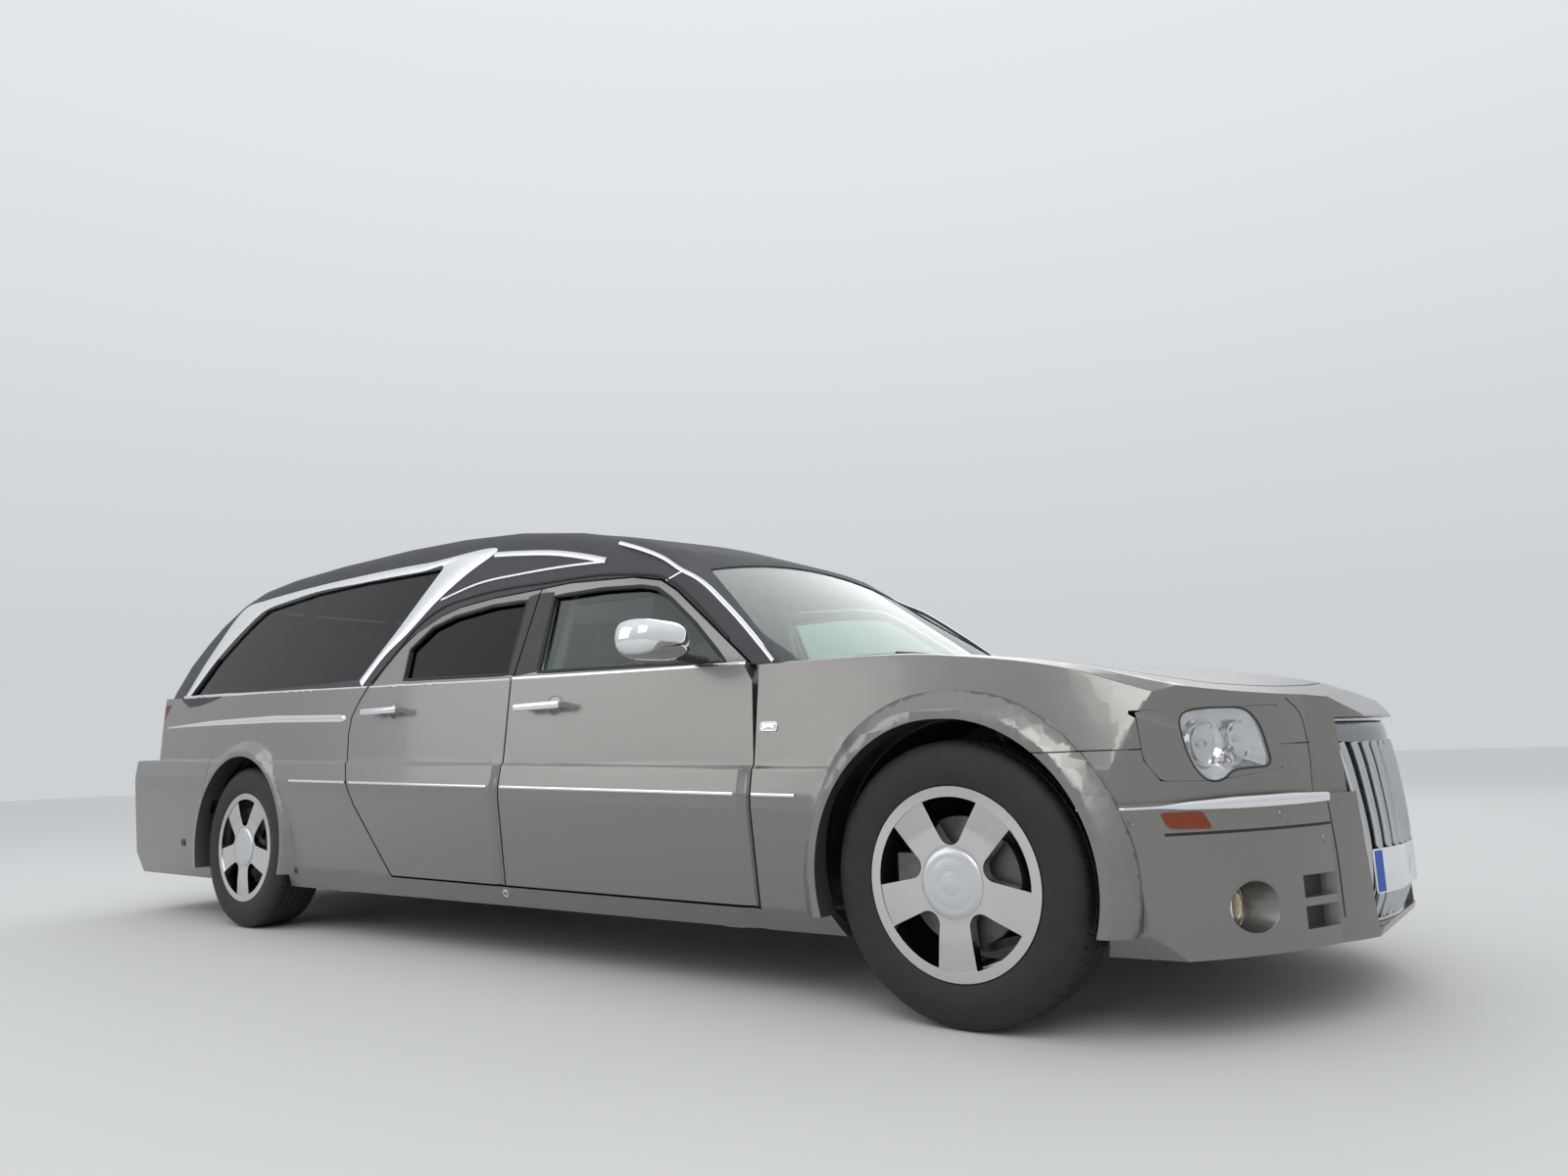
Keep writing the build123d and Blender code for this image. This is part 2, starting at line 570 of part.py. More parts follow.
floor = floor + tunnel - tunnel_bore
rear_edge = [(KICK_X, HOUSE_EDGE), (-2320, HOUSE_EDGE), (-2320, 780), (-2940, 640)]
rear_outline = rear_edge + [(x, -y) for x, y in reversed(rear_edge)]
floor = floor + plan_prism(rear_outline, REAR_FLOOR, REAR_FLOOR + 30)
floor = floor + block(KICK_X - 20, KICK_X, -HOUSE_EDGE, HOUSE_EDGE, FLOOR_TOP - 47, REAR_FLOOR + 30)
save("floor_pan", floor)


def wheel_house(x, depth_y):
    """Right-hand inner arch: a half drum with its inner wall, open below."""
    outer = cross_cylinder(x, ARCH_Z, ARCH_RADIUS + 8, -HOUSE_INNER_Y + 8, -depth_y)
    inner = cross_cylinder(x, ARCH_Z, ARCH_RADIUS + 1, -HOUSE_INNER_Y, -depth_y - 10)
    return (outer - inner) & block(x - 600, x + 600, -1000, -400, 330, 900)


front_house = wheel_house(FRONT_AXLE, 800)
rear_house = wheel_house(REAR_AXLE, 828)
rear_house = rear_house - block(REAR_AXLE - 45, REAR_AXLE + 45, -500, -400, 300, 410)
save("wheel_houses", front_house, mirrored(front_house), rear_house, mirrored(rear_house))

bulkhead = rear_prism([(-780, 263), (-780, 800), (-740, 880), (740, 880), (780, 800), (780, 263)], BULKHEAD_X, 1222)
rail_right = block(1222, 2560, -HOUSE_EDGE, -388, 300, 395)
bulkhead = bulkhead + rail_right + mirrored(rail_right)
save("bulkhead", bulkhead)
save("cowl", scuttle)

# Cabin

COLUMN_RADIUS = 24.0
WHEEL_HUB = Plane(origin=(745, 370, 850), x_dir=(0, 1, 0), z_dir=(-0.86, 0, 0.51))
dash = side_prism([(900, 640), (880, 760), (905, 880), (960, 925), (1080, 938), (FLOOR_FRONT, 930),
                   (FLOOR_FRONT, 560), (1000, 560)], -740, 740)
binnacle = side_prism([(862, 880), (862, 925), (1000, 972), (1060, 936), (1000, 880)], 190, 550)
shroud = WHEEL_HUB * (Pos(0, 0, -200) * Cylinder(46, 260))
column_bore = WHEEL_HUB * (Pos(0, 0, -200) * Cylinder(COLUMN_RADIUS + SEAT_GAP, 300))
dash = dash + (shroud - block(1100, 1400, 200, 500, 400, 900)) + binnacle - column_bore
save("dashboard", dash)


def seat(x, y, width, cushion, back_lean, base_z):
    """Seat with cushion, leaning backrest and head restraint, as seen from the side."""
    outline = [(x + cushion, base_z), (x + cushion, base_z + 215), (x + cushion - 60, base_z + 265),
               (x + 130, base_z + 225), (x + 60, base_z + 500), (x - back_lean + 90, base_z + 790),
               (x - back_lean, base_z + 800), (x - 40, base_z + 300), (x, base_z)]
    body = side_prism(outline, y - width / 2, y + width / 2)
    return fillet(body.edges().filter_by(Axis.Y), 18)


FLOOR_SEAT = FLOOR_TOP - 2 + SEAT_GAP
front_seat = seat(150, -395, 490, 560, 60, FLOOR_SEAT + 30)
head_rest = Pos(100, -395, FLOOR_SEAT + 910) * Box(90, 270, 170)
head_rest = fillet(head_rest.edges(), 30)
plinth = block(230, 640, -590, -200, FLOOR_SEAT, FLOOR_SEAT + 30)
front_seat = front_seat + head_rest + plinth
save("front_seats", front_seat, mirrored(front_seat))
bench = seat(-700, 0, 1300, 520, 40, FLOOR_SEAT + 40)
bench = bench + block(-600, -240, -560, 560, FLOOR_SEAT, FLOOR_SEAT + 41) - tunnel_bore - tunnel
save("rear_bench", bench)

RING_RADIUS, RING_HALF = 185.0, 14.0
ring_section = Pos(RING_RADIUS, 0) * RegularPolygon(RING_HALF, 6)
rim_ring = revolve(Plane.XZ * ring_section, Axis.Z, 360)
spokes = Box(2 * RING_RADIUS, 44, 16) + Pos(0, -RING_RADIUS / 2, 0) * Box(40, RING_RADIUS, 16)
boss = Cylinder(62, 34)
column = Pos(0, 0, -165) * Cylinder(COLUMN_RADIUS, 300)
save("steering_wheel", WHEEL_HUB * (rim_ring + spokes + boss + column))

partition = rear_prism([(-770, 262), (-790, 760), (-770, 960), (-600, 1400), (600, 1400), (770, 960), (790, 760),
                        (770, 262)], -905, -890)
partition = partition - block(-910, -885, -TUNNEL_HALF - SEAT_GAP, TUNNEL_HALF + SEAT_GAP, 200, 312)
save("partition", partition)

deck_outline = [(-915, 800), (-2500, 800), (-2840, 640)]
deck_edge = deck_outline + [(x, -y) for x, y in reversed(deck_outline)]
deck = plan_prism(deck_edge, DECK_TOP - 15, DECK_TOP)
deck_legs = [block(x - 15, x + 15, y - 130, y + 130, floor_z + SEAT_GAP, DECK_TOP - 14)
             for x, floor_z in ((-1000, FLOOR_TOP - 2), (-2780, REAR_FLOOR + 30)) for y in (-300, 300)]
deck = deck + deck_legs

RAIL_Y = 300.0
rail = block(-2780, -1000, -RAIL_Y - 18, -RAIL_Y + 18, DECK_TOP + SEAT_GAP, DECK_TOP + 20)
rollers = [cross_cylinder(-1100 - 400 * i, DECK_TOP + 22, 14, -RAIL_Y - 10, RAIL_Y + 10) for i in range(5)]
save("load_deck", deck, rail + mirrored(rail) + rollers)

# Running gear carried by the body

engine = block(1560, 2180, -290, 290, 300, 780)
engine = chamfer(engine.edges().filter_by(Axis.X).sort_by(Axis.Z)[-2:], 90)
front_subframe = block(1735, 1990, -440, 440, 228, 300 - SEAT_GAP)


def lower_arm(x, inner_y, eye_y, z):
    """Right-hand lower arm: a plate that narrows to the ball joint's eye."""
    outline = [(x + 120, -inner_y), (x + 34, -eye_y + 60), (x + 34, -eye_y), (x - 34, -eye_y), (x - 34, -eye_y + 60),
               (x - 120, -inner_y)]
    plate = plan_prism(outline, z - 22, z)
    return plate + Pos(x, -eye_y, z - 11) * Cylinder(34, 22)


HUB_BORE = 30.0
KINGPIN_Y = 750.0
ARM_Z = 200.0
front_arm = lower_arm(FRONT_AXLE, 370, KINGPIN_Y, ARM_Z)
arm_mount = block(FRONT_AXLE - 100, FRONT_AXLE + 100, -400, -340, ARM_Z - 22, 230)
damper = Pos(FRONT_AXLE, -560, 485) * Cylinder(26, 590)
front_gear = front_subframe + front_arm + arm_mount + mirrored(front_arm) + mirrored(arm_mount)
front_gear = front_gear + damper + mirrored(damper)
save("front_suspension", front_gear)
save("engine", engine)

rear_beam = block(REAR_AXLE - 130, REAR_AXLE + 130, -430, 430, 420, REAR_FLOOR - SEAT_GAP)
diff = Pos(REAR_AXLE, 0, WHEEL_Z) * Sphere(100)
rear_arm = lower_arm(REAR_AXLE, 360, 715, 250) + block(REAR_AXLE - 60, REAR_AXLE + 60, -400, -340, 228, 421)
half_shaft = cross_cylinder(REAR_AXLE, WHEEL_Z, 20, -700, 0)
rear_knuckle = block(REAR_AXLE - 50, REAR_AXLE + 50, -735, -700, 228, 500)
rear_stub = cross_cylinder(REAR_AXLE, WHEEL_Z, HUB_BORE - SEAT_GAP, -855, -700)
rear_right = rear_arm + half_shaft + rear_knuckle + rear_stub
rear_gear = rear_beam + diff + rear_right + mirrored(rear_right)
save("rear_axle", rear_gear)

pipe_z = 160.0
pipe = Pos(0, -220, pipe_z) * Rot(0, 90, 0) * Cylinder(28, 3500)
muffler = Pos(-2420, -330, pipe_z + 28) * Rot(0, 90, 0) * Cylinder(85, 560)
exhaust = (Pos(-500, 0, 0) * pipe) + muffler
HANGER_X = (1000, -300, -1300)
exhaust = exhaust + [block(x - 10, x + 10, -230, -210, pipe_z, FLOOR_TOP - 47 - SEAT_GAP) for x in HANGER_X]
save("exhaust", exhaust)

# Wheels

BARREL = 228.0
FACE_OUT = 104.0


def turned(profile_ry):
    """Solid of revolution about the wheel's axle from radius and outward distance."""
    face = Face(Wire(Polyline(*[(r, y, 0) for r, y in profile_ry], close=True).edges()))
    return revolve(face, Axis.Y, 360)


TYRE_HALF = TYRE_WIDTH / 2
BEAD_Y = 98.0
tyre_outer = [(BARREL + SEAT_GAP, BEAD_Y - SEAT_GAP), (262, BEAD_Y - SEAT_GAP), (300, TYRE_HALF), (345, 100),
              (TYRE_RADIUS, 70)]
tyre_outline = tyre_outer + [(r, -y) for r, y in reversed(tyre_outer)]
tyre_inner = [(BARREL + SEAT_GAP, 78), (300, 98), (346, 70)]
tyre_hollow = tyre_inner + [(r, -y) for r, y in reversed(tyre_inner)]
tyre = turned(tyre_outline) - turned(tyre_hollow)

barrel = turned([(BARREL, -104), (BARREL, BEAD_Y), (RIM_RADIUS, BEAD_Y), (RIM_RADIUS, FACE_OUT),
                 (BARREL - 10, FACE_OUT), (BARREL - 10, -104)])
spider = turned([(BARREL - 5, 70), (BARREL - 5, FACE_OUT - 4), (150, FACE_OUT), (HUB_BORE, FACE_OUT - 2),
                 (HUB_BORE, 66)])
WINDOWS = 5
window_rounds = (Pos(0, 128) * Circle(32)).edges() + (Pos(70, 204) * Circle(9)).edges()
window_rounds = window_rounds + (Pos(-70, 204) * Circle(9)).edges() + (Pos(0, 216) * Circle(8)).edges()
window_cut = Plane.XZ * extrude(make_hull(window_rounds), 200, both=True)
for i in range(WINDOWS):
    spider = spider - Rot(0, 360 / WINDOWS * i, 0) * window_cut
cap = turned([(0, 88), (0, 111), (80, 107), (88, 100), (88, 88)])
hub = turned([(HUB_BORE, -22), (HUB_BORE, 70), (74, 70), (74, -22)])
disc = turned([(HUB_BORE + 20, 22), (HUB_BORE + 20, 44), (165, 44), (165, 22)])
rim = barrel + spider + cap + hub + disc

# Front knuckles

stub = cross_cylinder(0, 0, HUB_BORE - SEAT_GAP, -60, 60)
upright = block(-45, 45, -35, -62, -150, 120) + block(-45, -112, -35, -62, -60, 60)
caliper = block(-185, -110, -62, 62, -68, 68) - block(-172, -100, 16, 50, -200, 200)
ball_joint = Pos(0, KINGPIN_Y - TRACK / 2, (ARM_Z + SEAT_GAP - WHEEL_Z - 149) / 2) * Cylinder(
    20, WHEEL_Z - 149 - ARM_Z - SEAT_GAP)
knuckle = upright + stub + caliper + ball_joint

WHEEL_PLACES = [("front", FRONT_AXLE), ("rear", REAR_AXLE)]
for end, x in WHEEL_PLACES:
    place = Pos(x, TRACK / 2, WHEEL_Z)
    save(f"tyre_{end}_left", place * tyre)
    save(f"tyre_{end}_right", mirrored(place * tyre))
    save(f"rim_{end}_left", place * rim)
    save(f"rim_{end}_right", mirrored(place * rim))
front_knuckle = Pos(FRONT_AXLE, TRACK / 2, WHEEL_Z) * knuckle
save("knuckle_left", front_knuckle)
save("knuckle_right", mirrored(front_knuckle))
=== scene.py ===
import json
import math

import bmesh
import bpy
import numpy as np
from bpy.props import FloatProperty, FloatVectorProperty, IntProperty, PointerProperty
from mathutils import Matrix, Vector


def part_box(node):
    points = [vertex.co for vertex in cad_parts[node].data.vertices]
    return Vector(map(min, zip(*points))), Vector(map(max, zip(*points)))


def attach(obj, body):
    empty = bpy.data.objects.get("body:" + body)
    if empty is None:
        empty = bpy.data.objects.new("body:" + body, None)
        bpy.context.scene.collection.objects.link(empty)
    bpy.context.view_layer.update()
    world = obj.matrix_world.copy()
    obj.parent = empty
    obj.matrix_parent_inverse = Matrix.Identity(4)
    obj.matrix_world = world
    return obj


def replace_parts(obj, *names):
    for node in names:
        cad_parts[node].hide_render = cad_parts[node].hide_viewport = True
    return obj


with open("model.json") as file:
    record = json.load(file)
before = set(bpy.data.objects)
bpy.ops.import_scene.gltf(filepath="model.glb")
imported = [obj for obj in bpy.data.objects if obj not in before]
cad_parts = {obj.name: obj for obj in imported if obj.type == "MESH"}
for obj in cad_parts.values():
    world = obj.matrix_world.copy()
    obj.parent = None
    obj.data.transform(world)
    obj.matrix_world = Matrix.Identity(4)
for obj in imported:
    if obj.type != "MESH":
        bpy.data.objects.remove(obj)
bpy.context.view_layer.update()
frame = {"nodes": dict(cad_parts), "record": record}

bl_info = {
    "name": "Hearse dressing",
    "version": (1, 0, 0),
    "blender": (4, 5, 0),
    "location": "View3D > Sidebar > Hearse",
    "description": "Paint, trim, glass, wheels and seats of a long four-door hearse",
    "category": "Object",
}

# Places along the car, in metres: X forward from the middle of the car, Z up from the ground
FRONT_AXLE = 2.0695
REAR_AXLE = -1.6565
WHEEL_Z = 0.3635
WHEEL_Y = 0.800
MID_WHEELBASE = 0.2065
SIDES = {"left": 1.0, "right": -1.0}

# Lines along the side: height at mid wheelbase and fall for each metre forward
SIDE_LINES = {
    "seam": (0.2800, 0.0088),
    "strip": (0.6255, 0.0272),
    "crease": (0.7095, 0.0286),
    "belt": (1.0075, 0.0342),
}

# Lower body stations: x, half width at the widest and at the shoulder, shoulder and crown above the belt,
# and share of the recessed band between strip and crease
LOWER_STATIONS = np.array([
    (-3.0135, 0.905, 0.845, 0.000, 0.006, 1.0),
    (-1.6565, 0.938, 0.878, 0.000, 0.008, 1.0),
    (0.2065, 0.940, 0.880, 0.000, 0.008, 1.0),
    (1.4365, 0.938, 0.878, 0.008, 0.030, 1.0),
    (2.0695, 0.925, 0.858, 0.005, 0.024, 0.3),
    (2.3865, 0.905, 0.838, -0.040, -0.006, 0.3),
    (2.6565, 0.872, 0.790, -0.125, -0.038, 0.3),
    (3.0135, 0.830, 0.700, -0.205, -0.120, 0.3),
])
SILL_BOTTOM = 0.200
SILL_TUCK = 0.080
SEAM_TUCK = 0.034
BAND_LEAN = 0.014
BAND_STEP = 0.010
STRIP_DROP = 0.040
SHOULDER_ROUND, SHOULDER_SHARE = 0.040, 0.35
# Flutes behind the front edges of the doors, from mid wheelbase: from and to
FLUTES = [(1.172, 1.228), (0.000, 0.052)]
FLUTE_DEPTH, FLUTE_DROP, FLUTE_GROWTH = 0.011, 0.006, 0.020

# Upper body: half width at the belt and inward lean for each metre up
ROOF_HALF_X = (-2.7485, -2.6535, -2.5535, -2.4535, -2.3685, -2.2335, -2.0935, 0.2865, 0.6665, 1.0065, 1.7265)
ROOF_HALF_Y = (0.795, 0.826, 0.852, 0.862, 0.868, 0.871, 0.872, 0.872, 0.869, 0.862, 0.850)
SIDE_LEAN = 0.40

# Where the smooth form ends above the belt, and where it takes in the whole height at the nose
FORM_ABOVE_BELT, FORM_FADE = 0.030, 0.020
NOSE_FORM_X, NOSE_FORM_FADE = 1.45, 0.05
SKIN_DEPTH = 0.008
# Panels that aren't cut up for the form have this spacing
UNCUT = 10.0
EDGE_DEGREES = 50.0
# Half the step over which slopes of a face are taken
SLOPE_STEP = 0.004


def ramp(distance, length):
    """0 where the distance is below 0, 1 from the length on and straight between them."""
    return np.clip(distance / length, 0.0, 1.0)


def side_line(name, x):
    height, fall = SIDE_LINES[name]
    return height - fall * (x - MID_WHEELBASE)


def fill(tree, socket, value):
    """Links a shade to the socket or gives it a value, where a colour needs no alpha."""
    if isinstance(value, Shade):
        tree.links.new(value.socket, socket)
    elif socket.type == "RGBA":
        socket.default_value = (*value[:3], 1.0)
    else:
        socket.default_value = value


def add_node(tree, kind, settings=(), sockets=()):
    """Node of a type: its settings first, then the values or links of its sockets, by name or place."""
    node = tree.nodes.new(kind)
    for key, value in dict(settings).items():
        setattr(node, key, value)
    for key, value in dict(sockets).items():
        fill(tree, node.inputs[key], value)
    return node


def math_shade(operation, *terms):
    """Shade of a Math node that works on shades and numbers."""
    tree = next(term.tree for term in terms if isinstance(term, Shade))
    node = add_node(tree, "ShaderNodeMath", {"operation": operation}, enumerate(terms))
    return Shade(tree, node.outputs[0])


class Shade:
    """A shader socket that takes part in Python expressions; each operator adds its Math node."""

    def __init__(self, tree, socket):
        self.tree = tree
        self.socket = socket

    def __add__(self, other):
        return math_shade("ADD", self, other)

    def __sub__(self, other):
        return math_shade("SUBTRACT", self, other)

    def __rsub__(self, other):
        return math_shade("SUBTRACT", other, self)

    def __mul__(self, other):
        return math_shade("MULTIPLY", self, other)

    def __truediv__(self, other):
        return math_shade("DIVIDE", self, other)

    __radd__, __rmul__ = __add__, __mul__

    def clamp(self):
        return math_shade("MINIMUM", math_shade("MAXIMUM", self, 0.0), 1.0)

    def step(self, low, high):
        """0 below low, 1 above high and straight between them."""
        return ((self - low) / (high - low)).clamp()


class Finish:
    """One procedural material with a Principled shader."""

    def __init__(self, name, color, roughness, metallic=0.0, **constants):
        self.material = bpy.data.materials.new(name)
        self.material.use_nodes = True
        self.tree = self.material.node_tree
        self.shader = self.tree.nodes["Principled BSDF"]
        self.material.diffuse_color = (*color, 1.0)
        self.put(Base_Color=color, Roughness=roughness, Metallic=metallic, **constants)

    def put(self, **values):
        """Values or links of the shader's sockets, with an underscore for each space in a name."""
        for key, value in values.items():
            fill(self.tree, self.shader.inputs[key.replace("_", " ")], value)

    def node(self, kind, settings=(), sockets=(), output=0):
        """Shade of a new node's output."""
        return Shade(self.tree, add_node(self.tree, kind, settings, sockets).outputs[output])

    def place(self):
        return self.node("ShaderNodeTexCoord", output="Object")

    def axes(self):
        split = add_node(self.tree, "ShaderNodeSeparateXYZ", sockets={"Vector": self.place()})
        return [Shade(self.tree, output) for output in split.outputs]

    def noise(self, scale, detail=3.0):
        sockets = {"Vector": self.place(), "Scale": scale, "Detail": detail}
        return self.node("ShaderNodeTexNoise", sockets=sockets)

    def cells(self, scale):
        return self.node("ShaderNodeTexVoronoi", sockets={"Vector": self.place(), "Scale": scale})

    def blend(self, share, low, high):
        """Colour that goes from low to high with the share."""
        factor, low_color, high_color, mixed = 0, 6, 7, 2
        return self.node("ShaderNodeMix", {"data_type": "RGBA"},
                         {factor: share, low_color: low, high_color: high}, mixed)

    def bump(self, height, distance, strength=1.0):
        sockets = {"Height": height, "Distance": distance, "Strength": strength}
        self.put(Normal=self.node("ShaderNodeBump", sockets=sockets))


# Finishes


def scaled(color, share):
    return tuple(min(1.0, value * share) for value in color)


def paint_finish(name):
    """Warm silver metallic under clear coat: fine flake in the colour, and painted shade that darkens it in
    soft patches low down, where it is also rougher.
    """
    color = tuple(bpy.context.scene.hearse_colors.paint)
    f = Finish(name, color, 0.28, 0.85, Coat_Weight=0.6, Coat_Roughness=0.05)
    flake = f.cells(2600.0)
    cloud = f.noise(3.0)
    # Painted shade: the colour darkens towards the bottom of the body, in soft patches, and the roughness
    # rises there
    dust_and_shade = 1.0 - f.axes()[2].step(0.15, 0.75)
    base = f.blend(flake, scaled(color, 0.86), scaled(color, 1.12))
    f.put(Base_Color=f.blend(dust_and_shade * cloud * 0.35, base, scaled(color, 0.85)))
    f.put(Roughness=0.26 + cloud * 0.06 + dust_and_shade * 0.10)
    return f.material


def vinyl_finish(name):
    """Grained matt covering: small irregular cells and a broad soft mottle."""
    color = tuple(bpy.context.scene.hearse_colors.roof)
    f = Finish(name, color, 0.62)
    grain = f.cells(420.0)
    mottle = f.noise(5.0)
    f.put(Base_Color=f.blend(mottle, scaled(color, 0.8), scaled(color, 1.35)))
    f.put(Roughness=0.55 + grain * 0.25)
    f.bump(grain + f.noise(900.0) * 0.4, 0.0006, 0.6)
    return f.material


def chrome_finish(name, color, roughness):
    f = Finish(name, color, roughness, 1.0)
    smear = f.noise(26.0, 4.0)
    f.put(Base_Color=f.blend(smear, scaled(color, 0.93), color))
    f.put(Roughness=roughness + smear * 0.05)
    return f.material


def hammered_finish(name):
    """Bright trim with a fine hammered grain."""
    f = Finish(name, (0.80, 0.81, 0.82), 0.22, 1.0)
    dents = f.cells(170.0)
    f.put(Roughness=0.16 + dents * 0.2)
    f.bump(dents, 0.0008, 0.5)
    return f.material


def glass_finish(name, color, roughness=0.015):
    """Tinted pane that lets light through, with faint streaks of rain film."""
    f = Finish(name, color, roughness, 0.0, Transmission_Weight=1.0, IOR=1.33)
    film = f.noise(14.0, 5.0)
    f.put(Base_Color=f.blend(film, color, scaled(color, 0.9)))
    f.put(Roughness=roughness + film.step(0.55, 0.9) * 0.03)
    return f.material


def plastic_finish(name, color, roughness=0.45, grain=600.0, depth=0.0003):
    f = Finish(name, color, roughness)
    grit = f.cells(grain)
    worn = f.noise(9.0)
    f.put(Base_Color=f.blend(worn, scaled(color, 0.85), scaled(color, 1.25)))
    f.put(Roughness=roughness + grit * 0.12)
    f.bump(grit, depth, 0.4)
    return f.material


def metal_finish(name, color, roughness, metallic=0.9):
    """Bare or coated metal with cast texture and grime in patches."""
    f = Finish(name, color, roughness, metallic)
    grime = f.noise(12.0, 6.0)
    f.put(Base_Color=f.blend(grime.step(0.45, 0.75), color, scaled(color, 0.45)))
    f.put(Roughness=roughness + grime * 0.25)
    f.bump(f.noise(220.0, 4.0), 0.0008, 0.5)
    return f.material


def leather_finish(name):
    f = Finish(name, (0.17, 0.165, 0.16), 0.5)
    pores = f.cells(480.0)
    creases = f.noise(34.0, 6.0)
    f.put(Base_Color=f.blend(creases, (0.13, 0.126, 0.122), (0.21, 0.205, 0.2)))
    f.put(Roughness=0.42 + pores * 0.2)
    f.bump(pores * 0.5 + creases, 0.0012, 0.5)
    return f.material


def wood_finish(name):
    """Varnished deck: long rings stretched along the car and thin plank joints."""
    f = Finish(name, (0.30, 0.17, 0.09), 0.35, Coat_Weight=0.3)
    planks = math_shade("FRACT", f.axes()[1] * 7.0)
    joint = 1.0 - planks.step(0.0, 0.03)
    turn = f.node("ShaderNodeMapping", sockets={"Vector": f.place(), "Scale": (1.0, 14.0, 14.0)})
    grain = f.node("ShaderNodeTexNoise",
                   sockets={"Vector": turn, "Scale": 5.0, "Detail": 6.0, "Distortion": 0.6})
    color = f.blend(grain, (0.20, 0.10, 0.05), (0.40, 0.24, 0.13))
    f.put(Base_Color=f.blend(joint, color, (0.03, 0.02, 0.01)))
    f.put(Roughness=0.25 + grain * 0.2)
    f.bump(grain * 0.3 - joint, 0.0008, 0.4)
    return f.material


def felt_finish(name):
    f = Finish(name, (0.33, 0.32, 0.31), 0.9)
    fibre = f.noise(700.0, 4.0)
    f.put(Base_Color=f.blend(fibre, (0.27, 0.26, 0.25), (0.40, 0.39, 0.38)))
    f.bump(fibre, 0.0003, 0.5)
    return f.material


def tyre_finish(name):
    """Black rubber, a little browner and duller where the road dust sits."""
    f = Finish(name, (0.012, 0.012, 0.013), 0.62)
    dust_and_shade = f.noise(22.0, 5.0)
    f.put(Base_Color=f.blend(dust_and_shade.step(0.4, 0.8) * 0.4, (0.010, 0.010, 0.011), (0.035, 0.033, 0.030)))
    f.put(Roughness=0.55 + dust_and_shade * 0.2)
    f.bump(f.noise(500.0), 0.0003, 0.4)
    return f.material


def lens_finish(name, color, ribs=0.0):
    """Moulded clear lamp cover, with fine upright ribs where asked."""
    f = Finish(name, color, 0.03, 0.0, Transmission_Weight=0.9, IOR=1.45)
    haze = f.noise(40.0)
    f.put(Base_Color=f.blend(haze, color, scaled(color, 0.92)))
    f.put(Roughness=0.02 + haze * 0.04)
    if ribs:
        f.bump(math_shade("SINE", f.axes()[1] * ribs), 0.0006, 0.5)
    return f.material


# Finishes by name: the function that makes each, and its values
MAKERS = {
    "silver_paint": (paint_finish,),
    "roof_vinyl": (vinyl_finish,),
    "chrome": (chrome_finish, (0.86, 0.87, 0.88), 0.06),
    "wheel_chrome": (chrome_finish, (0.62, 0.61, 0.60), 0.09),
    "satin_metal": (chrome_finish, (0.66, 0.67, 0.68), 0.30),
    "dark_chrome": (chrome_finish, (0.30, 0.31, 0.32), 0.12),
    "grille_chrome": (chrome_finish, (0.56, 0.57, 0.58), 0.14),
    "mirror_glass": (chrome_finish, (0.70, 0.72, 0.73), 0.01),
    "lamp_bowl": (chrome_finish, (0.72, 0.74, 0.75), 0.12),
    "hammered_trim": (hammered_finish,),
    "clear_glass": (glass_finish, (0.55, 0.68, 0.62)),
    "dark_glass": (glass_finish, (0.055, 0.06, 0.065)),
    "lamp_clear": (lens_finish, (0.95, 0.96, 0.97)),
    # Warm yellow lens: its tint is painted glow of the lit fog lamps, and the real amber of the side markers
    "fog_lens": (lens_finish, (0.95, 0.80, 0.55)),
    "lamp_red": (lens_finish, (0.55, 0.015, 0.02), 700.0),
    "lamp_amber": (lens_finish, (0.85, 0.16, 0.02), 900.0),
    "black_plastic": (plastic_finish, (0.025, 0.025, 0.026)),
    "plate_white": (plastic_finish, (0.72, 0.73, 0.74), 0.35, 300.0, 0.0001),
    "plate_blue": (plastic_finish, (0.02, 0.08, 0.38), 0.35, 300.0, 0.0001),
    "seal_rubber": (plastic_finish, (0.014, 0.014, 0.015), 0.6),
    "underbody": (metal_finish, (0.06, 0.06, 0.062), 0.6, 0.1),
    "cast_metal": (metal_finish, (0.20, 0.19, 0.185), 0.5),
    "disc_steel": (metal_finish, (0.17, 0.16, 0.15), 0.42),
    "exhaust_metal": (metal_finish, (0.34, 0.31, 0.28), 0.4),
    "seat_leather": (leather_finish,),
    "deck_wood": (wood_finish,),
    "trim_panel": (felt_finish,),
    "tyre": (tyre_finish,),
}
FINISHES = {}


def finish(name):
    if name not in FINISHES:
        maker, *values = MAKERS[name]
        FINISHES[name] = maker(name, *values)
    return FINISHES[name]


# Meshes from arrays

# Distance within which points are one, in made meshes and in CAD meshes, and the cuts' tolerance
MERGE_MADE, MERGE_CAD, CUT_TOLERANCE = 0.000002, 0.00002, 0.00001
SHARP_DEGREES = 32.0


def build(name, made, material, body):
    """Object at the origin from points and faces, with its finish, riding on the body."""
    points, faces = made
    mesh = bpy.data.meshes.new(name)
    mesh.from_pydata(np.asarray(points, float).tolist(), [], [list(map(int, face)) for face in faces])
    return finished(name, mesh, material, body)


def finished(name, mesh, material, body):
    """Normals made to face outward, edges sharper than the angle kept, and the finish and body given."""
    work = bmesh.new()
    work.from_mesh(mesh)
    bmesh.ops.remove_doubles(work, verts=work.verts, dist=MERGE_MADE)
    bmesh.ops.recalc_face_normals(work, faces=work.faces)
    work.to_mesh(mesh)
    work.free()
    mesh.shade_smooth()
    mesh.set_sharp_from_angle(angle=math.radians(SHARP_DEGREES))
    piece = bpy.data.objects.new(name, mesh)
    bpy.context.collection.objects.link(piece)
    mesh.materials.append(finish(material))
    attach(piece, body)
    return piece


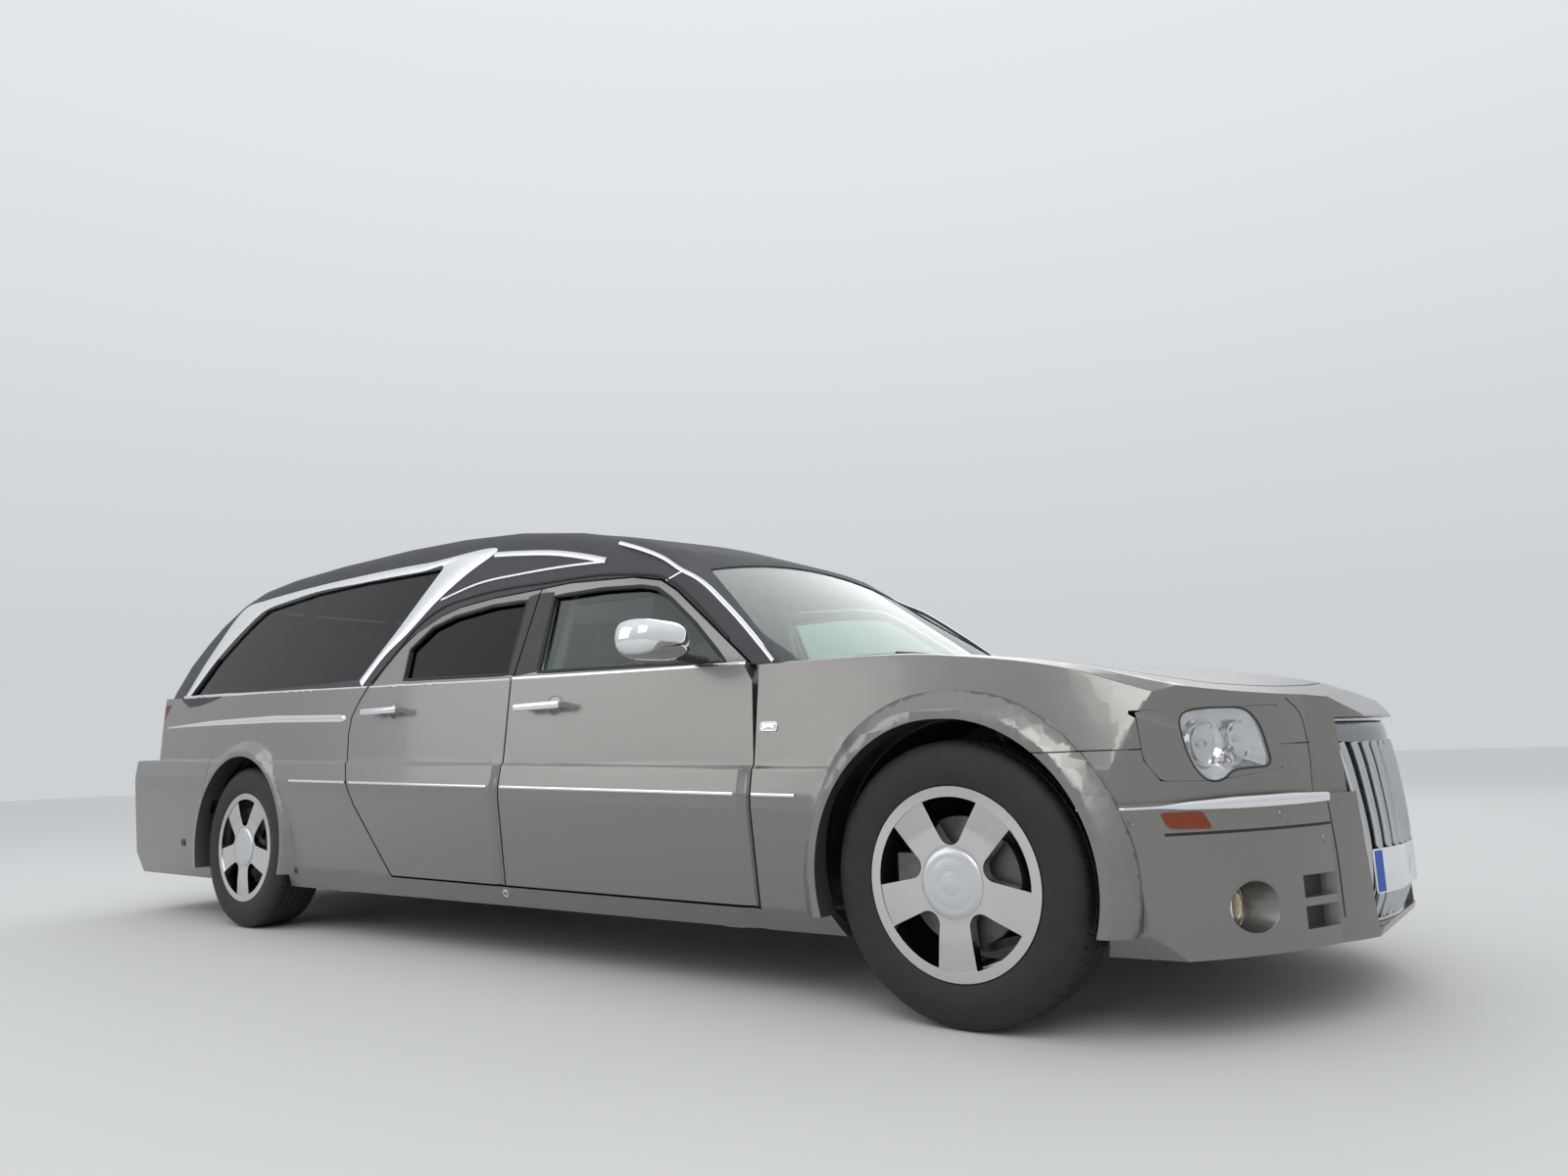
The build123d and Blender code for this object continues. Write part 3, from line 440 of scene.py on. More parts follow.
def grid_faces(rows, columns, wrap_rows=False, wrap_columns=False):
    """Quads that join a grid of points, closed along either way where asked."""
    down = np.arange(rows if wrap_rows else rows - 1)
    along = np.arange(columns if wrap_columns else columns - 1)
    r, c = [a.ravel() for a in np.meshgrid(down, along, indexing="ij")]
    r2, c2 = (r + 1) % rows, (c + 1) % columns
    return np.stack([r * columns + c, r * columns + c2, r2 * columns + c2, r2 * columns + c], axis=1).tolist()


def tube_faces(rows, columns):
    """Faces of a tube of rings, with a cap at each end."""
    caps = [list(range(columns)), [(rows - 1) * columns + i for i in reversed(range(columns))]]
    return grid_faces(rows, columns, False, True) + caps


def unit(vectors):
    return vectors / np.linalg.norm(vectors, axis=1, keepdims=True)


def joined(parts):
    """Several (points, faces) sets as one."""
    points, faces, start = [], [], 0
    for part_points, part_faces in parts:
        part_points = np.asarray(part_points, float)
        points.append(part_points)
        faces += [[start + int(i) for i in face] for face in part_faces]
        start += len(part_points)
    return np.concatenate(points), faces


def carried(path, outward, profile, closed=False):
    """Profile along a path: point = path + a * across + b * outward, with across = tangent x outward."""
    path, outward = np.asarray(path, float), np.asarray(outward, float)
    if closed:
        tangent = np.roll(path, -1, 0) - np.roll(path, 1, 0)
    else:
        tangent = np.gradient(path, axis=0)
    tangent = unit(tangent)
    across = unit(np.cross(tangent, outward))
    outward = np.cross(across, tangent)
    a, b = np.asarray(profile, float).T
    points = path[:, None] + across[:, None] * a[None, :, None] + outward[:, None] * b[None, :, None]
    rows, columns = len(path), len(a)
    return points.reshape(-1, 3), grid_faces(rows, columns, True, True) if closed else tube_faces(rows,
                                                                                                  columns)


def chords(points):
    """Length along the points, from the first to each."""
    return np.concatenate([[0.0], np.cumsum(np.linalg.norm(np.diff(points, axis=0), axis=1))])


def smoothed_path(points, spacing=0.02):
    """Even points by chord length along the cubic through the given ones."""
    points = np.asarray(points, float)
    chord = chords(points)
    s = np.linspace(0.0, chord[-1], max(int(chord[-1] / spacing), 2) + 1)
    return np.stack([cubic(chord, column, s) for column in points.T], axis=1)


def cubic(xs, ys, x):
    """Cubic through the points with each slope the weighted mean of its neighbours' and none at a turn."""
    xs, ys = np.asarray(xs, float), np.asarray(ys, float)
    gaps = np.diff(xs)
    rise = np.diff(ys) / gaps
    slope = np.empty_like(ys)
    slope[0], slope[-1] = rise[0], rise[-1]
    slope[1:-1] = (rise[:-1] * gaps[1:] + rise[1:] * gaps[:-1]) / (gaps[1:] + gaps[:-1])
    k = np.clip(np.searchsorted(xs, x) - 1, 0, len(xs) - 2)
    t = (x - xs[k]) / gaps[k]
    h00 = (1 + 2 * t) * (1 - t) ** 2
    h10 = t * (1 - t) ** 2
    h01 = t * t * (3 - 2 * t)
    h11 = t * t * (t - 1)
    return h00 * ys[k] + h10 * gaps[k] * slope[k] + h01 * ys[k + 1] + h11 * gaps[k] * slope[k + 1]


# Body form


def lower_outline(x, smooth):
    """Half section of the lower body at each x, as (point, corner, (y, z)).

    Widths and heights run straight or smooth between the stations, from the middle of the floor up over the
    sill, seam, strip, recessed band and shoulder to the crown.
    """
    station, *columns = LOWER_STATIONS.T
    wide, shoulder, up, crown, band = [cubic(station, column, x) if smooth else np.interp(x, station, column)
                                       for column in columns]
    belt, crease, strip = [side_line(name, x) for name in ("belt", "crease", "strip")]
    zero = np.zeros_like(x)
    y = [zero, wide - SILL_TUCK, wide - SEAM_TUCK, wide, wide, wide - BAND_LEAN * band,
         wide - (BAND_LEAN + BAND_STEP) * band, shoulder, shoulder - SHOULDER_ROUND, zero]
    z = [zero + SILL_BOTTOM, zero + SILL_BOTTOM, side_line("seam", x), strip - STRIP_DROP, strip,
         crease - BAND_STEP * band, crease, belt + up, belt + up + SHOULDER_SHARE * (crown - up),
         belt + crown]
    return np.stack([np.stack(y, 1), np.stack(z, 1)], axis=2)


def side_y(x, z):
    """Half width of the body's outer face, from the smooth lower form and the leaning upper one."""
    x, z = np.broadcast_arrays(np.asarray(x, float), np.asarray(z, float))
    flat_x, flat_z = x.ravel(), z.ravel()
    outline = lower_outline(flat_x, True)
    lower = np.array([np.interp(h, row[1:8, 1], row[1:8, 0]) for h, row in zip(flat_z, outline)])
    belt = side_line("belt", flat_x)
    upper = np.interp(flat_x, ROOF_HALF_X, ROOF_HALF_Y) - SIDE_LEAN * (flat_z - belt)
    return np.where(flat_z > belt, upper, lower).reshape(x.shape)


def flute_depth(x, z):
    """Upright flutes: depth * sin(pi share)^2 across each one, growing from nothing below the crease."""
    depth = np.zeros_like(x)
    for start, end in FLUTES:
        share = ramp(x - MID_WHEELBASE - start, end - start)
        depth += FLUTE_DEPTH * np.sin(math.pi * share) ** 2
    return depth * ramp(side_line("crease", x) - FLUTE_DROP - z, FLUTE_GROWTH)


def refined(node, spacing):
    """Merged copy of a CAD node's mesh, cut on planes across X and Z so that it can follow a curved form."""
    mesh = frame["nodes"][node].data.copy()
    work = bmesh.new()
    work.from_mesh(mesh)
    bmesh.ops.remove_doubles(work, verts=work.verts, dist=MERGE_CAD)
    low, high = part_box(node)
    for axis in (0, 2):
        direction = [0.0, 0.0, 0.0]
        direction[axis] = 1.0
        places = list(np.arange(math.ceil(low[axis] / spacing), high[axis] / spacing) * spacing)
        if axis == 0 and node.startswith("door") and spacing < UNCUT:
            places += [place for flute in FLUTES for place in np.linspace(*flute, 9) + MID_WHEELBASE]
        for place in places:
            center = [0.0, 0.0, 0.0]
            center[axis] = place
            bmesh.ops.bisect_plane(work, geom=work.verts[:] + work.edges[:] + work.faces[:],
                                   dist=CUT_TOLERANCE, plane_co=center, plane_no=direction)
    work.to_mesh(mesh)
    work.free()
    return mesh


def place_on_smooth_form(points):
    """Moves each point by what the smooth form differs from the straight-sided one at its nearest place.

    The nearest place is the foot on the outline's segments; weights fade the move out above the belt, and the
    flutes only reach points on the outer skin.
    """
    x, y, z = points.T
    half = np.abs(y)
    straight, smooth = lower_outline(x, False), lower_outline(x, True)
    start, end = straight[:, :-1], straight[:, 1:]
    run = end - start
    here = np.stack([half, z], axis=1)[:, None]
    length2 = np.maximum((run ** 2).sum(2), 1e-12)
    t = np.clip(((here - start) * run).sum(2) / length2, 0.0, 1.0)
    foot = start + run * t[..., None]
    nearest = ((here - foot) ** 2).sum(2).argmin(1)
    row = np.arange(len(x))
    share = t[row, nearest][:, None]
    target = smooth[row, nearest] * (1 - share) + smooth[row, nearest + 1] * share
    move = target - foot[row, nearest]
    below = ramp(side_line("belt", x) + FORM_ABOVE_BELT - z, FORM_FADE)
    front = ramp(x - NOSE_FORM_X, NOSE_FORM_FADE)
    weight = np.maximum(below, front)
    skin = np.clip(1.0 - np.hypot(*(here[:, 0] - foot[row, nearest]).T) / SKIN_DEPTH, 0.0, 1.0)
    points[:, 1] += np.sign(y) * (move[:, 0] * weight - flute_depth(x, z) * skin)
    points[:, 2] += move[:, 1] * weight
    return points


def panel(node, material, body, spacing=0.05, follow=True, bevel=0.002):
    """Copy of a CAD panel with softened edges, on the smooth form where it follows the body."""
    mesh = refined(node, spacing if follow else UNCUT)
    if follow:
        points = np.empty(len(mesh.vertices) * 3)
        mesh.vertices.foreach_get("co", points)
        mesh.vertices.foreach_set("co", place_on_smooth_form(points.reshape(-1, 3)).ravel())
    mesh.materials.clear()
    piece = finished(f"{node}_skin", mesh, material, body)
    if bevel:
        edge = piece.modifiers.new("edge", "BEVEL")
        edge.width = bevel
        edge.segments = 2
        edge.limit_method = "ANGLE"
        edge.angle_limit = math.radians(EDGE_DEGREES)
        edge.use_clamp_overlap = True
    even = piece.modifiers.new("shading", "WEIGHTED_NORMAL")
    even.keep_sharp = True
    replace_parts(piece, node)
    return piece


# Settings


class HearseColors(bpy.types.PropertyGroup):
    paint: FloatVectorProperty(name="Paint", description="Body colour", subtype="COLOR", size=3,
                               default=(0.235, 0.226, 0.212), min=0.0, max=1.0)
    roof: FloatVectorProperty(name="Roof", description="Colour of the roof covering", subtype="COLOR", size=3,
                              default=(0.045, 0.046, 0.050), min=0.0, max=1.0)


class HearseSizes(bpy.types.PropertyGroup):
    strip: FloatProperty(name="Side strip", description="Height of the bright strip along the side",
                         default=0.011, min=0.004, max=0.03, unit="LENGTH")
    lamp_power: FloatProperty(name="Light", description="Power of the key lamp", default=260.0, min=0.0)
    tread_blocks: IntProperty(name="Tread blocks", description="Blocks round a tyre", default=64, min=24)


def body_of_node(node):
    for body, nodes in frame["record"]["behaviour"]["bodies"].items():
        if node in nodes:
            return body
    raise ValueError(f"no body holds {node}")


# Inner faces of doors and roof are lined: how far their normals face in, and the lowest place in the roof
LINED, LINING_Z = -0.6, 1.25
PAINTED = ["side_frames", "fenders", "bumper_front", "nose_shell", "bumper_rear", "bonnet", "tailgate",
           "door_front_left", "door_front_right", "door_rear_left", "door_rear_right"]


def faces_cabin(middle, normal):
    return normal[:, 1] * np.sign(middle[:, 1]) < LINED


def hangs_over_cabin(middle, normal):
    return (normal[:, 2] < LINED) & (middle[:, 2] > LINING_Z)


class HEARSE_OT_painted_panels(bpy.types.Operator):
    """Painted panels on the smooth form of the body"""

    bl_idname = "hearse.painted_panels"
    bl_label = "Painted panels"

    def execute(self, context):
        for node in PAINTED:
            piece = panel(node, "silver_paint", body_of_node(node))
            if node.startswith("door"):
                second_finish(piece, "trim_panel", faces_cabin)
        return {"FINISHED"}


class HEARSE_OT_roof(bpy.types.Operator):
    """Covered roof with its pillars"""

    bl_idname = "hearse.roof"
    bl_label = "Roof"

    def execute(self, context):
        roof = panel("roof", "roof_vinyl", "car_body", follow=False)
        second_finish(roof, "trim_panel", hangs_over_cabin)
        return {"FINISHED"}


# Side view paths, as x from mid wheelbase and z, in metres

FRONT_GLASS = [(0.186, 1.026), (0.140, 1.318), (0.400, 1.317), (0.600, 1.302), (0.680, 1.284), (0.755, 1.240),
               (0.900, 1.136), (1.072, 0.994)]
REAR_GLASS = [(0.016, 1.030), (-0.014, 1.320), (-0.226, 1.323), (-0.459, 1.302), (-0.591, 1.268),
              (-0.694, 1.186), (-0.658, 1.055)]
FRAME_OUTER = [(-2.633, 1.100), (-2.532, 1.346), (-2.384, 1.556), (-2.200, 1.576), (-1.995, 1.586),
               (-1.314, 1.596), (-0.809, 1.587), (-0.334, 1.564), (-0.466, 1.500), (-0.623, 1.395),
               (-0.764, 1.259), (-0.870, 1.173), (-0.955, 1.050)]
FRAME_INNER = [(-2.570, 1.106), (-2.442, 1.288), (-2.280, 1.440), (-2.155, 1.517), (-1.900, 1.548),
               (-1.290, 1.558), (-0.850, 1.550), (-0.676, 1.543), (-0.700, 1.505), (-0.760, 1.414),
               (-0.848, 1.281), (-0.915, 1.188), (-0.990, 1.080)]

BODY = "car_body"
FRONT_DOOR = "front_{side}_door"
REAR_DOOR = "rear_{side}_door"
EYEBROW_TOP = [(-0.330, 1.556), (-0.138, 1.534), (0.066, 1.504), (0.265, 1.459), (0.372, 1.430)]
EYEBROW_LOW = [(-0.599, 1.392), (-0.388, 1.434), (-0.092, 1.442), (0.276, 1.432), (0.372, 1.426)]
PILLAR_STRIP = [(1.262, 0.981), (1.149, 1.080), (1.016, 1.187), (0.843, 1.307), (0.777, 1.338),
                (0.670, 1.398), (0.546, 1.450), (0.420, 1.493)]
DRIP = [(-0.890, 1.060), (-0.790, 1.182), (-0.712, 1.277), (-0.578, 1.352), (-0.398, 1.380), (-0.160, 1.390),
        (0.053, 1.384), (0.405, 1.372), (0.560, 1.352), (0.700, 1.322), (0.790, 1.272), (0.930, 1.172),
        (1.062, 1.070)]


def along_line(name, x_from, x_to, lift=0.0, step=0.05):
    """Path along one of the side lines."""
    x = np.linspace(x_from, x_to, max(int(abs(x_to - x_from) / step), 2) + 1)
    height, fall = SIDE_LINES[name]
    return np.stack([x, height - fall * x + lift], axis=1)


# Bright and dark mouldings: name, body, finish, path, height (or none for the side strip's), how far they
# stand out
MOULDINGS = [
    ("belt_front_door", FRONT_DOOR, "chrome",
     [(1.165, 0.980), (0.900, 0.9855), (0.500, 0.9955), (0.068, 1.0092)], 0.018, 0.014),
    ("belt_rear_door", REAR_DOOR, "chrome", along_line("belt", 0.044, -0.885, 0.004), 0.017, 0.006),
    ("belt_quarter", BODY, "chrome", along_line("belt", -0.905, -2.640, 0.004), 0.015, 0.006),
    ("strip_fender", BODY, "chrome", along_line("strip", 1.392, 1.236), None, 0.005),
    ("strip_front_door", FRONT_DOOR, "chrome", along_line("strip", 1.166, 0.074), None, 0.005),
    ("strip_rear_door", REAR_DOOR, "chrome", along_line("strip", -0.004, -0.914), None, 0.005),
    ("strip_quarter", BODY, "chrome", along_line("strip", -0.945, -1.396), None, 0.005),
    ("eyebrow_top", BODY, "hammered_trim", EYEBROW_TOP, 0.026, 0.006),
    ("eyebrow_low", BODY, "hammered_trim", EYEBROW_LOW, 0.012, 0.006),
    ("pillar_strip", BODY, "chrome", PILLAR_STRIP, 0.016, 0.006),
    ("pillar_branch", BODY, "chrome", [(0.716, 1.309), (0.779, 1.334)], 0.010, 0.005),
    ("drip_line", BODY, "seal_rubber", DRIP, 0.010, 0.006),
]
# Spear behind the doors: along the car, height of its middle, its own height
SPEAR = [(-2.797, 0.950, 0.006), (-2.600, 0.951, 0.013), (-2.245, 0.951, 0.027), (-1.620, 0.9415, 0.035),
         (-1.060, 0.919, 0.034), (-1.030, 0.918, 0.026), (-1.018, 0.9175, 0.010)]


def rounded(height, proud, points=7):
    """Moulding section: flat back, half of a superellipse in front, from edge to edge."""
    angle = np.linspace(0.0, math.pi, points)
    a = -np.cos(angle) * height / 2
    b = np.sin(angle) ** 0.6 * proud
    return np.concatenate([[(-height / 2, -0.002)], np.stack([a, b], 1), [(height / 2, -0.002)]])[::-1]


def slopes(reach, a, b, step=SLOPE_STEP):
    """Slopes of a face along both of its coordinates, by central differences."""
    return ((reach(a + step, b) - reach(a - step, b)) / (2 * step),
            (reach(a, b + step) - reach(a, b - step)) / (2 * step))


def beading(placed, height, proud, lift=0.0, closed=False):
    """Rounded moulding along points that are placed on a face, raised from it by the lift."""
    points, normals = placed
    return carried(points + normals * lift, normals, rounded(height, proud), closed)


def on_side(points, side, lift=0.0):
    """Side view points set on the body's outer face, with the face's normal there."""
    points = np.asarray(points, float)
    x, z = points[:, 0] + MID_WHEELBASE, points[:, 1]
    sign = SIDES[side]
    slope_x, slope_z = slopes(side_y, x, z)
    normals = unit(np.stack([-slope_x, np.full_like(x, sign), -slope_z], 1))
    return np.stack([x, sign * (side_y(x, z) + lift), z], 1), normals


def moulding(name, body, material, path, height, proud):
    """Bright or dark moulding on both sides, with a rounded section carried along a smooth side view path."""
    route = smoothed_path(path, 0.03) if len(path) > 2 else np.asarray(path, float)
    for side in SIDES:
        build(f"{name}_{side}", beading(on_side(route, side), height, proud), material,
              body.format(side=side))


def ring_on_side(outer, inner, side, proud, lift=0.0025, sink=0.006, across=4, count=110):
    """Band between outlines: point = outer + (inner - outer) * share, crowned by proud * sin(pi share)."""
    outer, inner = np.asarray(outer), np.asarray(inner)
    chord = chords(outer)
    s = np.linspace(0.0, chord[-1], count)
    rings = []
    for share in np.linspace(0.0, 1.0, across + 1):
        corner = outer * (1 - share) + inner * share
        points, normals = on_side(np.stack([cubic(chord, column, s) for column in corner.T], 1), side)
        rings.append(points + normals * (lift + proud * math.sin(math.pi * share)))
    sunk = np.array([0.0, sink * SIDES[side], 0.0])
    grid = np.stack([rings[0] - sunk, *rings, rings[-1] - sunk])
    rows = len(grid)
    faces = grid_faces(rows, count, wrap_rows=True)
    faces += [[r * count for r in range(rows)], [r * count + count - 1 for r in reversed(range(rows))]]
    return grid.reshape(-1, 3), faces


def flank(side):
    """Function that puts outline points (along the car, height) on one side of the body."""
    return lambda flat: on_side(flat, side)


# Dark covers on the door pillars: name, body, outline
PILLAR_COVERS = [
    ("pillar_front", FRONT_DOOR, [(0.0625, 1.022), (0.176, 1.030), (0.132, 1.338), (0.0575, 1.342)]),
    ("pillar_rear", REAR_DOOR, [(0.052, 1.022), (0.047, 1.344), (-0.010, 1.335), (0.018, 1.030)]),
]


class HEARSE_OT_mouldings(bpy.types.Operator):
    """Bright and dark mouldings along the sides, the quarter window frames and the spears"""

    bl_idname = "hearse.mouldings"
    bl_label = "Mouldings"

    def execute(self, context):
        strip = context.scene.hearse_sizes.strip
        for name, body, material, path, height, proud in MOULDINGS:
            moulding(name, body, material, path, height or strip, proud)
        for side in SIDES:
            for name, body, outline in PILLAR_COVERS:
                plate = cover(rounded_outline(outline, 0.004, 0.03), flank(side), 0.003, 0.0, 0.0018, 3)
                build(f"{name}_{side}", plate, "black_plastic", body.format(side=side))
            build(f"quarter_frame_{side}", ring_on_side(FRAME_OUTER, FRAME_INNER, side, 0.004),
                  "hammered_trim", BODY)
            self.add_spear(side)
            self.add_seal(f"seal_front_{side}", FRONT_GLASS, FRONT_DOOR.format(side=side), side)
            self.add_seal(f"seal_rear_{side}", REAR_GLASS, REAR_DOOR.format(side=side), side)
        return {"FINISHED"}

    def add_spear(self, side):
        """Moulding whose height changes along its path, with points close together at its blunt front."""
        table = np.asarray(SPEAR)
        x = np.linspace(table[0, 0], table[-1, 0], 70)
        x[-8:] = np.linspace(table[-3, 0], table[-1, 0], 8)
        z, height = (np.interp(x, table[:, 0], table[:, k]) for k in (1, 2))
        points, normals = on_side(np.stack([x, z], 1), side)
        up = np.tile([0.0, 0.0, 1.0], (len(x), 1))
        build(f"spear_{side}", tapered_bar(points, normals, height, np.minimum(height * 0.35, 0.010), up),
              "chrome", BODY)

    def add_seal(self, name, outline, body, side):
        """Black rubber round a side window, closed along its outline."""
        loop = np.array(outline + outline[:1])
        route = []
        for start, end in zip(loop[:-1], loop[1:]):
            steps = max(int(np.linalg.norm(end - start) / 0.05), 1)
            route += [start + (end - start) * i / steps for i in range(steps)]
        build(name, beading(on_side(route, side, -0.004), 0.016, 0.007, closed=True), "seal_rubber", body)


# Wheels

WHEEL_TABLE = [("front_left", FRONT_AXLE, 1.0), ("front_right", FRONT_AXLE, -1.0),
               ("rear_left", REAR_AXLE, 1.0), ("rear_right", REAR_AXLE, -1.0)]

# Tyre section from the outer bead over the tread: radius, distance from the wheel's middle plane
TYRE_SECTION = [(0.2300, 0.0977), (0.2455, 0.0985), (0.2490, 0.1040), (0.2620, 0.1085), (0.2800, 0.1115),
                (0.3000, 0.1122), (0.3200, 0.1100), (0.3380, 0.1045), (0.3500, 0.0975), (0.3570, 0.0900),
                (0.3610, 0.0780), (0.3632, 0.0600), (0.3635, 0.0300), (0.3635, 0.0)]
GROOVES = (0.0, 0.030, 0.058)
GROOVE_HALF, GROOVE_DEPTH, SIPE_DEPTH = 0.0045, 0.0065, 0.0035
TYRE_SHOULDER, TREAD_HALF, INNER_BEAD = [(0.3570, 0.0900), (0.3605, 0.0810)], 0.0770, (0.2300, 0.0900)
# Rows of sipes: from and to across the tread, slant in blocks for each metre across, share of a block
BLOCK_ROW, RIB_ROW = (0.034, 0.088, 9.0, 0.16), (0.006, 0.026, 14.0, 0.10)


def tyre_surface(blocks, around=512):
    """Radius and width from the section, lowered in the grooves and in slanted sipes between the blocks."""
    half = np.array(TYRE_SECTION)
    wall = np.concatenate([half[:9], TYRE_SHOULDER])
    across = np.linspace(TREAD_HALF, -TREAD_HALF, 57)
    tread_r = np.interp(np.abs(across), half[::-1, 1][:5], half[::-1, 0][:5])
    back = wall[::-1] * [1, -1]
    radius = np.concatenate([wall[:, 0], tread_r, back[:, 0], [INNER_BEAD[0]]])
    width = np.concatenate([wall[:, 1], across, back[:, 1], [-INNER_BEAD[1]]])
    angle = np.arange(around) * 2 * math.pi / around
    a, w = np.meshgrid(angle, width, indexing="ij")
    r = np.tile(radius, (around, 1))
    off_middle, block = np.abs(w), a * blocks / (2 * math.pi)
    for middle in GROOVES:
        in_groove = (off_middle < TREAD_HALF + 0.0001) & (np.abs(off_middle - middle) < GROOVE_HALF)
        r -= np.where(in_groove, GROOVE_DEPTH, 0.0)
    start, end, slant, part = BLOCK_ROW
    phase = (block + np.sign(w) * 0.5 + off_middle * slant) % 1.0
    r -= np.where((off_middle > start) & (off_middle < end) & (phase < part), SIPE_DEPTH, 0.0)
    start, end, slant, part = RIB_ROW
    phase = (block - w * slant) % 1.0
    r -= np.where((off_middle > start) & (off_middle < end) & (phase < part), SIPE_DEPTH * 0.8, 0.0)
    points = np.stack([r * np.sin(a), w, r * np.cos(a)], 2)
    return points.reshape(-1, 3), grid_faces(around, len(width), True, True)


def at_wheel(made, x, sign):
    """Wheel coordinates, with Y outward, moved to an axle's end."""
    points, faces = made
    return points * [1.0, sign, 1.0] + [x, sign * WHEEL_Y, WHEEL_Z], faces


class HEARSE_OT_tyres(bpy.types.Operator):
    """Tyres with grooves, blocks and sipes in the tread"""

    bl_idname = "hearse.tyres"
    bl_label = "Tyres"

    def execute(self, context):
        surface = tyre_surface(context.scene.hearse_sizes.tread_blocks)
        for name, x, sign in WHEEL_TABLE:
            piece = build(f"tyre_{name}_treaded", at_wheel(surface, x, sign), "tyre", f"{name}_wheel")
            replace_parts(piece, f"tyre_{name}")
        return {"FINISHED"}


# Wheel centre cap: radius, distance out
CAP_SECTION = [(0.0, 0.1130), (0.012, 0.1130), (0.018, 0.1122), (0.026, 0.1122), (0.030, 0.1112),
               (0.034, 0.1118), (0.060, 0.1110), (0.066, 0.1096), (0.070, 0.1102), (0.083, 0.1088),
               (0.0875, 0.1060), (0.0875, 0.100)]


# The disc lies within this distance from the car's middle plane and this radius
DISC_Y, DISC_RADIUS = WHEEL_Y + 0.046, 0.172


class HEARSE_OT_rims(bpy.types.Operator):
    """Bright five-spoke rims with softened edges, satin centre caps and discs behind"""

    bl_idname = "hearse.rims"
    bl_label = "Rims"

    def execute(self, context):
        for name, x, sign in WHEEL_TABLE:
            rim = panel(f"rim_{name}", "wheel_chrome", f"{name}_wheel", follow=False, bevel=0.0035)
            second_finish(rim, "disc_steel", lambda middle, normal: (np.abs(middle[:, 1]) < DISC_Y) & (
                np.hypot(middle[:, 0] - x, middle[:, 2] - WHEEL_Z) < DISC_RADIUS))
            cap = turned_about(CAP_SECTION, (x, sign * WHEEL_Y, WHEEL_Z), (0.0, sign, 0.0), 96)
            build(f"wheel_cap_{name}", cap, "satin_metal", f"{name}_wheel")
        return {"FINISHED"}


# Nose and tail

# Plan of each end, from mid wheelbase: three points of the arc across it, then three of the corner's arc
END_PLANS = {
    "nose_low": [((2.655, -0.400), (2.767, 0.0), (2.655, 0.400)),
                 ((2.655, 0.400), (2.520, 0.665), (2.260, 0.925))],
    "nose_high": [((2.625, -0.400), (2.757, 0.0), (2.625, 0.400)),
                  ((2.625, 0.400), (2.492, 0.665), (2.240, 0.925))],
    "tail_low": [((-3.110, -0.840), (-3.180, 0.0), (-3.110, 0.840)),
                 ((-3.110, 0.840), (-3.084, 0.900), (-2.860, 0.945))],
    "tail_high": [((-2.940, -0.740), (-3.015, 0.0), (-2.940, 0.740)),
                  ((-2.940, 0.740), (-2.880, 0.850), (-2.620, 0.925))],
}
NOSE_STEP_Z, TAIL_STEP_Z = 0.560, 0.785
NOSE_PROFILE_X = (2.690, 2.718, 2.757, 2.767, 2.760, 2.744, 2.723, 2.640, 2.570, 2.500)
NOSE_PROFILE_Z = (0.100, 0.202, 0.300, 0.430, 0.560, 0.680, 0.755, 0.826, 0.862, 1.500)
FLANK_PLACES = np.linspace(1.8, 2.9, 45)


def plan_x(name, y):
    """X of a plan outline at y: the circle through three points, on the side where its middle point lies."""
    half = np.abs(y)
    arcs = []
    for (x1, y1), (x2, y2), (x3, y3) in END_PLANS[name]:
        twice = 2 * (x1 * (y2 - y3) + x2 * (y3 - y1) + x3 * (y1 - y2))
        s1, s2, s3 = x1 * x1 + y1 * y1, x2 * x2 + y2 * y2, x3 * x3 + y3 * y3
        cx = (s1 * (y2 - y3) + s2 * (y3 - y1) + s3 * (y1 - y2)) / twice
        cy = (s1 * (x3 - x2) + s2 * (x1 - x3) + s3 * (x2 - x1)) / twice
        reach = np.sqrt(np.maximum((x1 - cx) ** 2 + (y1 - cy) ** 2 - (half - cy) ** 2, 0.0))
        arcs.append(cx + math.copysign(1.0, x2 - cx) * reach)
    return np.where(half <= END_PLANS[name][0][2][1], arcs[0], arcs[1])


def nose_x(y, z):
    """Furthest point forward: the least of the plan, the nose profile and where flank and top end."""
    y, z = np.broadcast_arrays(np.asarray(y, float), np.asarray(z, float))
    half = np.abs(y)
    reach = np.where(z > NOSE_STEP_Z, plan_x("nose_high", y), plan_x("nose_low", y))
    reach = np.minimum(reach, np.interp(z, NOSE_PROFILE_Z, NOSE_PROFILE_X))
    margins = []
    for row in lower_outline(FLANK_PLACES + MID_WHEELBASE, True):
        beside = np.interp(z, row[1:8, 1], row[1:8, 0]) - half
        top = np.interp(half, row[:6:-1, 0], row[:6:-1, 1]) - z
        margins.append(np.minimum(beside, top))
    margins = np.stack(margins)
    last = len(FLANK_PLACES) - 1 - (margins > 0)[::-1].argmax(axis=0)
    after = np.minimum(last + 1, len(FLANK_PLACES) - 1)
    inner, outer = [np.take_along_axis(margins, k[None], 0)[0] for k in (last, after)]
    share = np.where(after > last, inner / np.maximum(inner - outer, 1e-9), 0.0)
    return np.minimum(reach, FLANK_PLACES[last] + (FLANK_PLACES[1] - FLANK_PLACES[0]) * share)


def tail_x(y, z):
    """Rearmost point at y and z: the bumper's plan low down and the panels' plan above it."""
    y, z = np.broadcast_arrays(np.asarray(y, float), np.asarray(z, float))
    return np.where(z > TAIL_STEP_Z, plan_x("tail_high", y), plan_x("tail_low", y))


